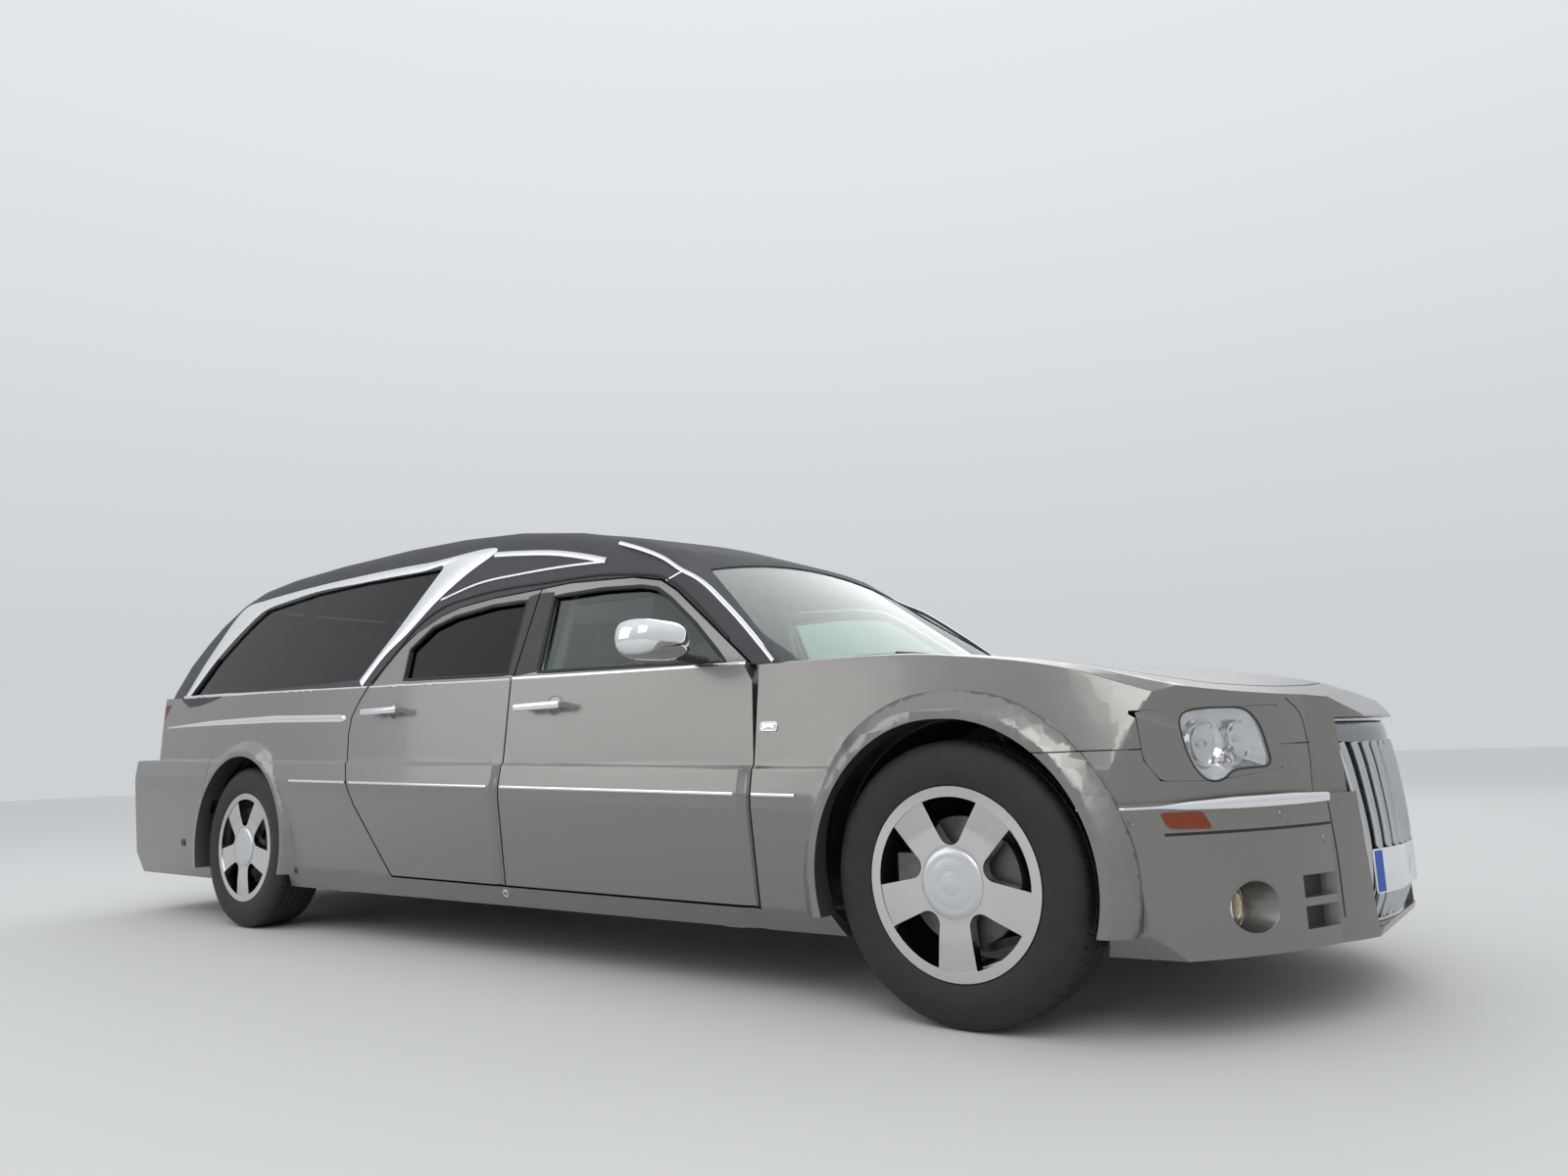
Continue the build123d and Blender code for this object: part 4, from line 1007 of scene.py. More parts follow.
def grille_x(y, z):
    """The nose with no step in it: smooth profile(z) - (furthest profile - low plan(y))."""
    return cubic(NOSE_PROFILE_Z, NOSE_PROFILE_X, z) - (max(NOSE_PROFILE_X) - plan_x("nose_low", y))


def on_face(reach, yz, out=1.0):
    """Points (y, z) put where a face reaches along the car, with the face's normals there."""
    y, z = np.asarray(yz, float).T
    slope_y, slope_z = slopes(reach, y, z)
    normals = unit(np.stack([np.ones_like(y), -slope_y, -slope_z], 1) * out)
    return np.stack([reach(y, z) + MID_WHEELBASE, y, z], 1), normals


def on_grille(yz):
    return on_face(grille_x, yz)


def on_end(end, yz):
    return on_face(nose_x, yz) if end == "nose" else on_face(tail_x, yz, -1.0)


def rounded_outline(points, radius, step=0.015):
    """Closed outline with a quadratic curve at each corner, from a radius before it to a radius after it."""
    points = np.asarray(points, float)
    t = np.linspace(0.0, 1.0, 7)[:, None]
    corners = []
    for before, corner, after in zip(np.roll(points, 1, 0), points, np.roll(points, -1, 0)):
        legs = [before - corner, after - corner]
        start, end = [corner + leg * min(radius / np.linalg.norm(leg), 0.5) for leg in legs]
        corners.append((1 - t) ** 2 * start + 2 * t * (1 - t) * corner + t * t * end)
    loop = np.concatenate(corners)
    loop = loop[np.linalg.norm(np.roll(loop, -1, 0) - loop, axis=1) > 0.00001]
    filled = []
    for here, there in zip(loop, np.roll(loop, -1, 0)):
        count = max(int(np.linalg.norm(there - here) / step), 1)
        filled.append(here + (there - here) * np.arange(count)[:, None] / count)
    return np.concatenate(filled)


def rectangle(y_low, y_high, z_low, z_high):
    return [(y_low, z_low), (y_high, z_low), (y_high, z_high), (y_low, z_high)]


def lofted(rings, start_tip, end_tip):
    """Closed skin through rings of equal count, drawn together to a tip at each end."""
    rings = np.stack(rings)
    rows, count = rings.shape[:2]
    points = np.concatenate([rings.reshape(-1, 3), [start_tip], [end_tip]])
    first, last = rows * count, rows * count + 1
    faces = grid_faces(rows, count, False, True)
    faces += [[first, (i + 1) % count, i] for i in range(count)]
    faces += [[last, (rows - 1) * count + i, (rows - 1) * count + (i + 1) % count] for i in range(count)]
    return points, faces


def cover(outline, place, thickness, bulge=0.0, lift=0.0, rings=6):
    """Shell over an outline: rings shrink to its middle, raised by lift + bulge * (1 - share^2)."""
    outline = np.asarray(outline, float)
    middle = outline.mean(0)
    shares = np.linspace(1.0, 0.0, rings + 1)
    fronts, backs = [], []
    for share in shares:
        points, normals = place(middle + (outline - middle) * share)
        raised = lift + bulge * (1 - share ** 2)
        fronts.append(points + normals * raised)
        backs.append(points + normals * (raised - thickness))
    return lofted(backs[-2::-1] + fronts[:-1], backs[-1][0], fronts[-1][0])


def turned_about(section, center, direction, around=40):
    """Section (radius, distance along) turned about a line through the centre along the direction."""
    direction = np.asarray(direction, float) / np.linalg.norm(direction)
    side = np.cross(direction, (0.0, 0.0, 1.0) if abs(direction[2]) < 0.9 else (0.0, 1.0, 0.0))
    side /= np.linalg.norm(side)
    up = np.cross(side, direction)
    angle = np.arange(around) * 2 * math.pi / around
    round_it = np.outer(np.cos(angle), side) + np.outer(np.sin(angle), up)
    section = np.asarray(section, float)
    points = (np.asarray(center, float) + round_it[:, None] * section[None, :, :1]
              + direction * section[None, :, 1:])
    return points.reshape(-1, 3), grid_faces(around, len(section), True, False)


def tapered_bar(points, normals, heights, prouds, across=None):
    """Moulding whose section's height and depth change along the path."""
    section = rounded(1.0, 1.0)
    if across is None:
        across = unit(np.cross(normals, np.gradient(points, axis=0)))
    shape = (points[:, None] + across[:, None] * (section[None, :, 0] * heights[:, None])[..., None]
             + normals[:, None] * (section[None, :, 1] * prouds[:, None])[..., None])
    return shape.reshape(-1, 3), tube_faces(len(points), len(section))


def second_finish(piece, material, test):
    """Gives the faces that pass the test, of their middles and normals, another finish."""
    mesh = piece.data
    mesh.materials.append(finish(material))
    count = len(mesh.polygons)
    middles, normals = np.empty(count * 3), np.empty(count * 3)
    mesh.polygons.foreach_get("center", middles)
    mesh.polygons.foreach_get("normal", normals)
    index = np.empty(count, int)
    mesh.polygons.foreach_get("material_index", index)
    chosen = test(middles.reshape(-1, 3), normals.reshape(-1, 3))
    index[chosen] = len(mesh.materials) - 1
    mesh.polygons.foreach_set("material_index", index)


# Lamps

# Outlines as distance from the middle plane and height
HEADLAMP = [(0.5006, 0.7834), (0.5006, 0.6286), (0.700, 0.6066), (0.7996, 0.6106), (0.8274, 0.660),
            (0.8354, 0.7774)]
LENS = [(0.758, 0.771), (0.700, 0.781), (0.599, 0.780), (0.561, 0.741), (0.545, 0.686), (0.533, 0.634),
        (0.614, 0.632), (0.647, 0.628), (0.663, 0.610), (0.690, 0.602), (0.718, 0.614), (0.739, 0.653),
        (0.752, 0.705)]
INDICATOR = [(0.826, 0.538), (0.748, 0.538), (0.730, 0.496), (0.812, 0.500)]
# Headlamp units: distance from the middle plane, height, radius, depth, bulb's finish
HEADLAMP_UNITS = [(0.688, 0.694, 0.052, 0.045, "lamp_clear"), (0.600, 0.703, 0.040, 0.045, "lamp_clear"),
                  (0.640, 0.655, 0.016, 0.030, "lamp_amber")]
# Rim of a dish from its radius, bulb, and the fog lamp's lens and ring: radius, distance along
DISH_EDGE = [(0.003, 0.002), (0.005, -0.004), (0.002, -0.012)]
BULB_SECTION = [(0.0, 0.0), (0.006, -0.002), (0.010, -0.010), (0.010, -0.022), (0.008, -0.032), (0.0, -0.034)]
FOG_LENS = [(0.0, 0.0200), (0.016, 0.0185), (0.031, 0.0135), (0.042, 0.0050), (0.044, 0.0005),
            (0.044, -0.0150), (0.0, -0.0155)]
FOG_RING = [(0.0440, 0.0003), (0.0440, 0.0070), (0.0465, 0.0090), (0.0500, 0.0080), (0.0520, 0.0040),
            (0.0525, 0.0003), (0.0440, 0.0003)]
FOG_Y, FOG_Z, FOG_FACE_X, FOG_LENS_OUT = 0.650, 0.310, 2.462, 0.016
# Parking sensors: end, distance from the middle plane, height
SENSORS = [("nose", 0.872, 0.520), ("nose", 0.560, 0.520), ("nose", 0.425, 0.452), ("tail", 0.300, 0.560),
           ("tail", 0.640, 0.560)]
SENSOR_SECTION = [(0.0, 0.0012), (0.0050, 0.0012), (0.0062, 0.0002), (0.0080, 0.0016), (0.0100, 0.0016),
                  (0.0112, 0.0), (0.0112, -0.003)]
# Lamps on the side: name, outline, corner radius, lens finish, rim finish
SIDE_LAMPS = [
    ("repeater", [(1.249, 0.775), (1.249, 0.799), (1.309, 0.797), (1.309, 0.773)], 0.008, "lamp_bowl",
     "chrome"),
    ("marker", [(0.031, 0.237), (0.031, 0.259), (0.055, 0.259), (0.055, 0.237)], 0.013, "fog_lens", "chrome"),
    ("reflector", [(-2.515, 0.354), (-2.515, 0.386), (-2.481, 0.386), (-2.481, 0.354)], 0.018, "lamp_red",
     "black_plastic"),
]


def frame_between(outer, inner, place, thickness, lift=0.0005, count=160):
    """Plate between two outlines, each met at even angles about the inner one's middle."""
    middle = inner.mean(0)
    angles = np.arange(count) * 2 * math.pi / count
    rings = []
    for outline in (outer, inner):
        away = outline - middle
        turn = np.arctan2(away[:, 1], away[:, 0])
        reach = np.interp(angles, turn, np.hypot(*away.T), period=2 * math.pi)
        points, normals = place(middle + np.stack([np.cos(angles), np.sin(angles)], 1) * reach[:, None])
        rings.append([points + normals * lift, points + normals * (lift - thickness)])
    grid = np.stack([rings[0][0], rings[1][0], rings[1][1], rings[0][1]])
    return grid.reshape(-1, 3), grid_faces(4, count, True, True)


def mirrored_place(end, side):
    """Function that puts points (distance from the middle plane, height) on one side of the nose or tail."""
    return lambda flat: on_end(end, np.asarray(flat, float) * [SIDES[side], 1.0])


class HEARSE_OT_lamps(bpy.types.Operator):
    """Headlamps with bowls and bulbs behind clear covers, fog lamps, indicators, repeaters and tail lamps"""

    bl_idname = "hearse.lamps"
    bl_label = "Lamps"

    def execute(self, context):
        covers = []
        for side in SIDES:
            covers.append(self.add_headlamp(side))
            lens = cover(rounded_outline(INDICATOR, 0.010), mirrored_place("nose", side), 0.008, 0.002, 0.002)
            build(f"indicator_{side}", lens, "lamp_amber", BODY)
            for name, outline, radius, material, rim in SIDE_LAMPS:
                loop = rounded_outline(outline, radius, 0.006)
                build(f"{name}_{side}", cover(loop, flank(side), 0.006, 0.0025, 0.001), material, BODY)
                bead = beading(on_side(loop, side, 0.0005), 0.0045, 0.0035, closed=True)
                build(f"{name}_rim_{side}", bead, rim, BODY)
            for i, (end, y, z) in enumerate(SENSORS):
                (point,), (normal,) = on_end(end, [(SIDES[side] * y, z)])
                sensor = turned_about(SENSOR_SECTION, point, normal, 24)
                build(f"sensor_{side}_{i}", sensor, "silver_paint", BODY)
            self.add_fog_lens(side)
        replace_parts(covers[0], "headlamps")
        self.add_fog_cups()
        self.add_tail_lamps()
        return {"FINISHED"}

    def add_headlamp(self, side):
        """Clear cover on the body's face, a bright bowl sunk behind it and three round units in the bowl."""
        place = mirrored_place("nose", side)
        surround = frame_between(rounded_outline(HEADLAMP, 0.012), rounded_outline(LENS, 0.030), place, 0.012)
        build(f"headlamp_surround_{side}", surround, "silver_paint", BODY)
        clear = cover(rounded_outline(LENS, 0.034), place, 0.003, 0.004, -0.001, 8)
        lens = build(f"headlamp_cover_{side}", clear, "lamp_clear", BODY)
        bowl = cover(rounded_outline(LENS, 0.020), place, 0.004, -0.034, -0.010, 8)
        build(f"headlamp_bowl_{side}", bowl, "lamp_bowl", BODY)
        rim = beading(place(rounded_outline(LENS, 0.032)), 0.006, 0.0035, -0.002, closed=True)
        build(f"headlamp_rim_{side}", rim, "black_plastic", BODY)
        share = np.linspace(0.0, 1.0, 12)
        for i, (y, z, radius, depth, bulb) in enumerate(HEADLAMP_UNITS):
            (point,), (normal,) = place([(y, z)])
            aim = normal * 0.6 + [0.4, 0.0, 0.0]
            center = point - normal * 0.022
            dish = np.stack([radius * share, depth * (share ** 2 - 1.0)], 1)
            section = np.concatenate([dish, np.add(DISH_EDGE, (radius, 0.0)), dish[::-1] + [0.0, -0.004]])
            build(f"headlamp_dish_{side}_{i}", turned_about(section, center, aim, 48), "chrome", BODY)
            build(f"headlamp_bulb_{side}_{i}", turned_about(BULB_SECTION, center - aim * 0.004, aim, 20),
                  bulb, BODY)
        return lens

    def add_fog_lens(self, side):
        """Small domed lens with a bright ring deep in the bumper's round recess."""
        center = (FOG_FACE_X + FOG_LENS_OUT + MID_WHEELBASE, SIDES[side] * FOG_Y, FOG_Z)
        # The lens's warm yellow tint is painted glow of the lit fog lamp
        for name, section, material in (("lens", FOG_LENS, "fog_lens"), ("ring", FOG_RING, "chrome")):
            build(f"fog_{name}_{side}", turned_about(section, center, (1.0, 0.0, 0.0), 48), material, BODY)

    def add_fog_cups(self):
        """Cup in body colour with a bright reflector in the middle of its floor."""
        cups = panel("fog_lamps", "silver_paint", BODY, follow=False, bevel=0.0)
        second_finish(cups, "chrome", lambda middle, normal: (normal[:, 0] > 0.9) & (
            middle[:, 0] < FOG_FACE_X + MID_WHEELBASE + 0.001))

    def add_tail_lamps(self):
        """Red lamp blocks at the rear corners, with softened edges."""
        panel("tail_lamps", "lamp_red", BODY, spacing=0.03, bevel=0.004)


# Bright front end

GRILLE_TOP, GRILLE_BOTTOM, HEADER_BOTTOM = 0.748, 0.222, 0.676
GRILLE_HALF_TOP, GRILLE_HALF_BOTTOM = 0.320, 0.270
BARS, BAR_HALF, BAR_DEPTH, BAR_CROWN, BAR_SINK = 11, 0.0125, 0.026, 0.012, 0.014
PLATE_HALF, PLATE_LOW, PLATE_HIGH, PLATE_BAND = 0.260, 0.302, 0.412, 0.040
# Bumper blade: distance from the middle plane, height of its middle, its own height
BLADE = [(0.400, 0.5535, 0.024), (0.520, 0.5545, 0.031), (0.680, 0.5535, 0.030), (0.780, 0.5515, 0.020),
         (0.815, 0.5505, 0.009), (0.830, 0.5500, 0.006), (0.902, 0.5490, 0.006)]
GRIP_HALF, GRIP_Z = 0.300, 1.008
REAR_REFLECTOR = [(0.560, 0.330), (0.760, 0.330), (0.750, 0.368), (0.560, 0.368)]
# Seam between nose and bonnet corner: distance from the middle plane, height
NOSE_SEAM = [(0.470, 0.800), (0.420, 0.760), (0.402, 0.690), (0.400, 0.560), (0.388, 0.420), (0.384, 0.260)]


def grille_half(z):
    share = (z - GRILLE_BOTTOM) / (GRILLE_TOP - GRILLE_BOTTOM)
    return GRILLE_HALF_BOTTOM + (GRILLE_HALF_TOP - GRILLE_HALF_BOTTOM) * share


class HEARSE_OT_front_trim(bpy.types.Operator):
    """Grille of upright bright bars in its frame, bumper blade, front plate, grip bar and rear reflectors"""

    bl_idname = "hearse.front_trim"
    bl_label = "Front trim"

    def execute(self, context):
        self.add_grille()
        for side in SIDES:
            self.add_blade(side)
            self.add_slot_backs(side)
        self.add_plate()
        self.add_rear_trim()
        return {"FINISHED"}

    def add_rear_trim(self):
        """Bright grip bar on the tailgate and red reflectors on the bumper."""
        across = np.linspace(-GRIP_HALF, GRIP_HALF, 31)
        points, normals = on_end("tail", np.stack([across, np.full_like(across, GRIP_Z)], 1))
        height = 0.020 * (1.0 - (across / (GRIP_HALF + 0.005)) ** 8)
        bar = tapered_bar(points, normals, height + 0.003, height * 0.5 + 0.001)
        build("tailgate_bar", bar, "chrome", "tailgate")
        for side in SIDES:
            lens = cover(rounded_outline(REAR_REFLECTOR, 0.010), mirrored_place("tail", side), 0.005, 0.002,
                         0.002)
            build(f"rear_reflector_{side}", lens, "lamp_red", BODY)

    def add_grille(self):
        """Bars: half ellipse sections that run up the nose profile, all leaning with the grille's sides."""
        z = np.linspace(GRILLE_BOTTOM + 0.004, HEADER_BOTTOM + 0.010, 24)
        angle = np.linspace(0.0, math.pi, 9)
        profile = np.stack([-np.cos(angle) * BAR_HALF, np.sin(angle) ** 0.7 * BAR_CROWN - 0.002], 1)
        profile = np.concatenate([[(-BAR_HALF, -BAR_DEPTH)], profile, [(BAR_HALF, -BAR_DEPTH)]])[::-1]
        bars = []
        for i in range(BARS):
            y = grille_half(z) * (i - (BARS - 1) / 2) / (BARS / 2)
            points, normals = on_grille(np.stack([y, z], 1))
            bars.append(carried(points - normals * BAR_SINK, normals, profile))
        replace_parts(build("grille_bars", joined(bars), "grille_chrome", BODY), "grille")
        bottom, top = GRILLE_HALF_BOTTOM - 0.002, GRILLE_HALF_TOP - 0.002
        outline = [(-top, GRILLE_TOP - 0.002), (-bottom, GRILLE_BOTTOM + 0.002),
                   (bottom, GRILLE_BOTTOM + 0.002), (top, GRILLE_TOP - 0.002)]
        backing = cover(rounded_outline(outline, 0.012, 0.03), on_grille, 0.005, 0.0, -0.036)
        build("grille_backing", backing, "black_plastic", BODY)
        edge = beading(on_grille(rounded_outline(outline, 0.030, 0.02)), 0.009, 0.004, -0.006, closed=True)
        build("grille_frame", edge, "chrome", BODY)
        bottom, top = grille_half(HEADER_BOTTOM) - 0.006, GRILLE_HALF_TOP - 0.006
        header = [(-bottom, HEADER_BOTTOM + 0.014), (0.0, HEADER_BOTTOM - 0.006),
                  (bottom, HEADER_BOTTOM + 0.014), (top, GRILLE_TOP - 0.006), (-top, GRILLE_TOP - 0.006)]
        build("grille_header", cover(rounded_outline(header, 0.016, 0.02), on_grille, 0.012, 0.004, -0.012),
              "dark_chrome", BODY)

    def add_blade(self, side):
        """Bright blade along the bumper's crease, pointed at its outer end, with a thin dark bead under it as
        painted shade of the groove there, and another as painted shade of the seam beside the nose.
        """
        table = np.array(BLADE)
        y = np.linspace(table[0, 0], table[-1, 0], 48)
        z, height = [np.interp(y, table[:, 0], table[:, k]) for k in (1, 2)]
        points, normals = on_end("nose", np.stack([y * SIDES[side], z], 1))
        blade = tapered_bar(points, normals, height, np.minimum(height * 0.5, 0.010))
        build(f"bumper_blade_{side}", blade, "chrome", BODY)
        place = mirrored_place("nose", side)
        # Painted shade: a thin dark bead along the seam between nose and bumper, where shade falls in the gap
        build(f"nose_seam_{side}", beading(place(smoothed_path(NOSE_SEAM)), 0.0045, 0.0008), "seal_rubber",
              BODY)
        # Painted shade: a thin dark bead along the groove under the blade
        y = np.linspace(0.398, 0.820, 36)
        groove = np.stack([y, 0.4885 - 0.004 * (y - 0.4)], 1)
        build(f"bumper_groove_{side}", beading(place(groove), 0.007, 0.0012), "seal_rubber", BODY)

    def add_slot_backs(self, side):
        """Dark wall behind the air slot beside the grille."""
        outline = rounded_outline(rectangle(0.392, 0.521, 0.240, 0.376), 0.006, 0.03)
        build(f"slot_back_{side}", cover(outline, mirrored_place("nose", side), 0.004, 0.0, -0.034),
              "black_plastic", BODY)

    def add_plate(self):
        """Blank plate on the bumper's curve, with a plain blue band at its left as one reads it."""
        half, low, high, edge = PLATE_HALF, PLATE_LOW, PLATE_HIGH, 0.004
        outline = rounded_outline(rectangle(-half, half, low, high), 0.010, 0.02)
        band = rounded_outline(rectangle(edge - half, PLATE_BAND - half, low + edge, high - edge), 0.004,
                               0.02)
        for name, loop, thickness, lift, material in (("front_plate", outline, 0.003, -0.001, "plate_white"),
                                                      ("front_plate_band", band, 0.0006, -0.0005,
                                                       "plate_blue")):
            build(name, cover(loop, lambda flat: on_end("nose", flat), thickness, 0.0, lift), material, BODY)


# Mirrors, handles and wipers

MIRROR_PLAN = [(1.160, 1.045), (1.150, 1.110), (1.105, 1.132), (0.960, 1.126), (0.915, 1.090), (0.915, 1.020),
               (0.960, 1.004), (1.120, 1.006)]
# Mirror shell: place along the car, share of the outline
MIRROR_RINGS = [(0.9060, 0.90), (0.9050, 0.985), (0.9100, 1.0), (0.9350, 0.998), (0.9600, 0.970),
                (0.9850, 0.900), (1.0040, 0.790), (1.0170, 0.640), (1.0250, 0.440), (1.0280, 0.220)]
# Mirror foot: middle (along, across, up), half width
MIRROR_FOOT = [(0.985, 0.872, 1.004, 0.040), (0.978, 0.905, 1.008, 0.034), (0.968, 0.940, 1.016, 0.026),
               (0.960, 0.975, 1.024, 0.020)]
PANE_RINGS = [(0.9052, 0.90), (0.9042, 0.89), (0.9040, 0.60)]
MIRROR_TURN, MIRROR_PIVOT = math.radians(-8.0), (0.965, 1.035)


def turned_mirror(points, side):
    """Mirror points, drawn for one side, turned about their pivot in plan and moved to the given side."""
    points = np.array(points, float)
    x, y = points[:, 0] - MIRROR_PIVOT[0], -points[:, 1] + MIRROR_PIVOT[1]
    c, s = math.cos(MIRROR_TURN), math.sin(MIRROR_TURN)
    points[:, 0] = x * c - y * s + MIRROR_PIVOT[0] + MID_WHEELBASE
    points[:, 1] = -SIDES[side] * (x * s + y * c - MIRROR_PIVOT[1])
    return points


def mirror_skin(table, tips, side):
    """Closed skin through the outline scaled to each share, at each place along the car, between two tips."""
    outline = rounded_outline(MIRROR_PLAN, 0.040, 0.012)
    middle = outline.mean(0)
    rings = [np.column_stack([np.full(len(outline), x), middle + (outline - middle) * share])
             for x, share in table]
    ends = turned_mirror([(x, *middle) for x in tips], side)
    return lofted([turned_mirror(ring, side) for ring in rings], *ends)


# Recess behind a handle: its middle as a share of the handle's length, half sizes
DISH_SHARE, DISH_HALF = 0.67, (0.040, 0.033)
# Wipers: name, route across and up the windscreen, width, how far they stand out
WIPERS = [
    ("blade_right", [(-0.700, 0.085), (-0.060, 0.040)], 0.010, 0.016),
    ("arm_right", [(-0.020, 0.004), (-0.160, 0.036), (-0.380, 0.066)], 0.016, 0.020),
    ("blade_left", [(0.020, 0.052), (0.640, 0.112)], 0.010, 0.016),
    ("arm_left", [(0.600, 0.050), (0.470, 0.080), (0.330, 0.086)], 0.016, 0.020),
]
SCREEN_BASE, SCREEN_TOP, SCREEN_RADIUS, SCREEN_INSET = (1.470, 0.990), (0.790, 1.420), 3.520, 0.004


def on_screen(flat):
    """Points across and up the windscreen on its outer face: depth = R - sqrt((R - inset)^2 - across^2)."""
    across, up = np.asarray(flat, float).T
    rise = np.subtract(SCREEN_TOP, SCREEN_BASE)
    rise /= np.linalg.norm(rise)
    depth = SCREEN_RADIUS - np.sqrt((SCREEN_RADIUS - SCREEN_INSET) ** 2 - across ** 2)
    x = SCREEN_BASE[0] + MID_WHEELBASE + rise[0] * up - rise[1] * depth
    z = SCREEN_BASE[1] + rise[1] * up + rise[0] * depth
    ones = np.ones_like(across)
    return np.stack([x, across, z],
                    1), unit(np.stack([rise[1] * ones, across / SCREEN_RADIUS, -rise[0] * ones], 1))


class HEARSE_OT_mirrors_handles(bpy.types.Operator):
    """Bright mirror shells on dark feet, door handles and windscreen wipers"""

    bl_idname = "hearse.mirrors_handles"
    bl_label = "Mirrors, handles and wipers"

    def execute(self, context):
        for side in SIDES:
            body = FRONT_DOOR.format(side=side)
            shell = build(f"mirror_shell_{side}", mirror_skin(MIRROR_RINGS, (0.907, 1.0284), side), "chrome",
                          body)
            build(f"mirror_pane_{side}", mirror_skin(PANE_RINGS, (0.9055, 0.9040), side), "mirror_glass",
                  body)
            self.add_foot(side, body)
            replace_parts(shell, f"mirror_{side}")
            for end in ("front", "rear"):
                panel(f"handle_{end}_{side}", "chrome", f"{end}_{side}_door", follow=False, bevel=0.005)
                self.add_scoop(end, side)
        self.add_wipers()
        return {"FINISHED"}

    def add_foot(self, side, body):
        """Foot from the window's front corner to the shell: a flattened tube that narrows outward."""
        route = np.array(MIRROR_FOOT)[:, :3] * [1.0, SIDES[side], 1.0] + [MID_WHEELBASE, 0.0, 0.0]
        angle = np.arange(16) * math.pi / 8
        rings = [center + np.column_stack([np.cos(angle) * row[3], np.zeros(16), np.sin(angle) * 0.013])
                 for center, row in zip(route, MIRROR_FOOT)]
        build(f"mirror_foot_{side}", lofted(rings, route[0], route[-1]), "black_plastic", body)

    def add_scoop(self, end, side):
        """Round grip recess behind a handle: a shallow dish in dark chrome, whose darkness is painted shade
        of the recess, inside a thin bright edge.
        """
        body = f"{end}_{side}_door"
        low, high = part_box(f"handle_{end}_{side}")
        middle = (low[0] + DISH_SHARE * (high[0] - low[0]) - MID_WHEELBASE, (low[2] + high[2]) / 2)
        turn = np.arange(40) * math.pi / 20
        loop = middle + np.stack([np.cos(turn), np.sin(turn)], 1) * DISH_HALF
        # Painted shade: the dish is dark chrome, darker than the paint around it, for the shade inside the
        # recess
        dish = cover(loop, flank(side), 0.002, -0.0015, 0.0010)
        build(f"handle_dish_{end}_{side}", dish, "dark_chrome", body)
        rim = beading(on_side(loop, side), 0.006, 0.0025, closed=True)
        build(f"handle_dish_rim_{end}_{side}", rim, "silver_paint", body)

    def add_wipers(self):
        """Arms and blades on the windscreen: routes given across and up the glass, on its large cylinder."""
        for name, route, width, proud in WIPERS:
            build(f"wiper_{name}", beading(on_screen(smoothed_path(route, 0.03)), width, proud, 0.001),
                  "black_plastic", BODY)


# Seats and steering wheel

SEAT_Y = 0.395
CHANNEL_DIP, CHANNEL_WIDTH = 0.10, 0.10
# Pads: name, middle, half sizes (along, across, up), lean in degrees, channels, squareness, fill
FRONT_PADS = [
    ("cushion", (0.470, SEAT_Y, 0.495), (0.225, 0.232, 0.060), 4.0, 5, 0.45, 0.7),
    ("backrest", (0.172, SEAT_Y, 0.815), (0.062, 0.225, 0.262), -7.0, 5, 0.42, 0.7),
    ("headrest", (0.100, SEAT_Y, 1.170), (0.043, 0.130, 0.080), -4.0, 0, 0.60, 0.8),
]
BENCH_PADS = [
    ("cushion", (-0.395, 0.0, 0.500), (0.205, 0.640, 0.062), 4.0, 9, 0.35, 0.7),
    ("backrest", (-0.672, 0.0, 0.830), (0.058, 0.630, 0.262), -6.0, 9, 0.35, 0.7),
]


# Steering wheel
COLUMN_AXIS, COLUMN_CENTER, RIM_RADIUS, GRIP_RADIUS = (-0.86, 0.0, 0.51), (0.745, 0.370, 0.850), 0.185, 0.0135
SPOKE_REACH = (0.050, 0.178)
HUB_SECTION = [(0.0, 0.026), (0.030, 0.024), (0.052, 0.017), (0.061, 0.004), (0.060, -0.014), (0.024, -0.016),
               (0.0235, -0.310), (0.0, -0.310)]


def pad_surface(center, half, lean, channels, square, rows=48, columns=96):
    """Cushion: superellipsoid x = a c(v)c(u), y = b c(v)s(u), z = c s(v), with sewn channels across it."""
    v = np.linspace(-math.pi / 2, math.pi / 2, rows)[1:-1]
    u = np.arange(columns) * 2 * math.pi / columns
    v, u = np.meshgrid(v, u, indexing="ij")

    def power(value):
        return np.sign(value) * np.abs(value) ** square

    ring = power(np.cos(v))
    form = np.stack([ring * power(np.cos(u)), ring * power(np.sin(u)), power(np.sin(v))], 2)
    thin = 0 if half[0] < half[2] else 2
    if channels:
        stripe = np.abs(np.sin(form[..., 1] * math.pi * channels / 2))
        dip = CHANNEL_DIP * np.exp(-((stripe - 1.0) / CHANNEL_WIDTH) ** 2)
        form[..., thin] *= 1.0 - dip * (1 - np.clip(np.abs(form[..., 2 - thin]), 0, 1) ** 4)
    points = form * half
    tips = np.array([(0.0, 0.0, -half[2]), (0.0, 0.0, half[2])])
    turn = math.radians(lean)
    rotate = np.array([[math.cos(turn), 0, -math.sin(turn)], [0, 1, 0], [math.sin(turn), 0, math.cos(turn)]])
    center = np.asarray(center, float) + [MID_WHEELBASE, 0.0, 0.0]
    return lofted(points @ rotate.T + center, *(tips @ rotate.T + center))


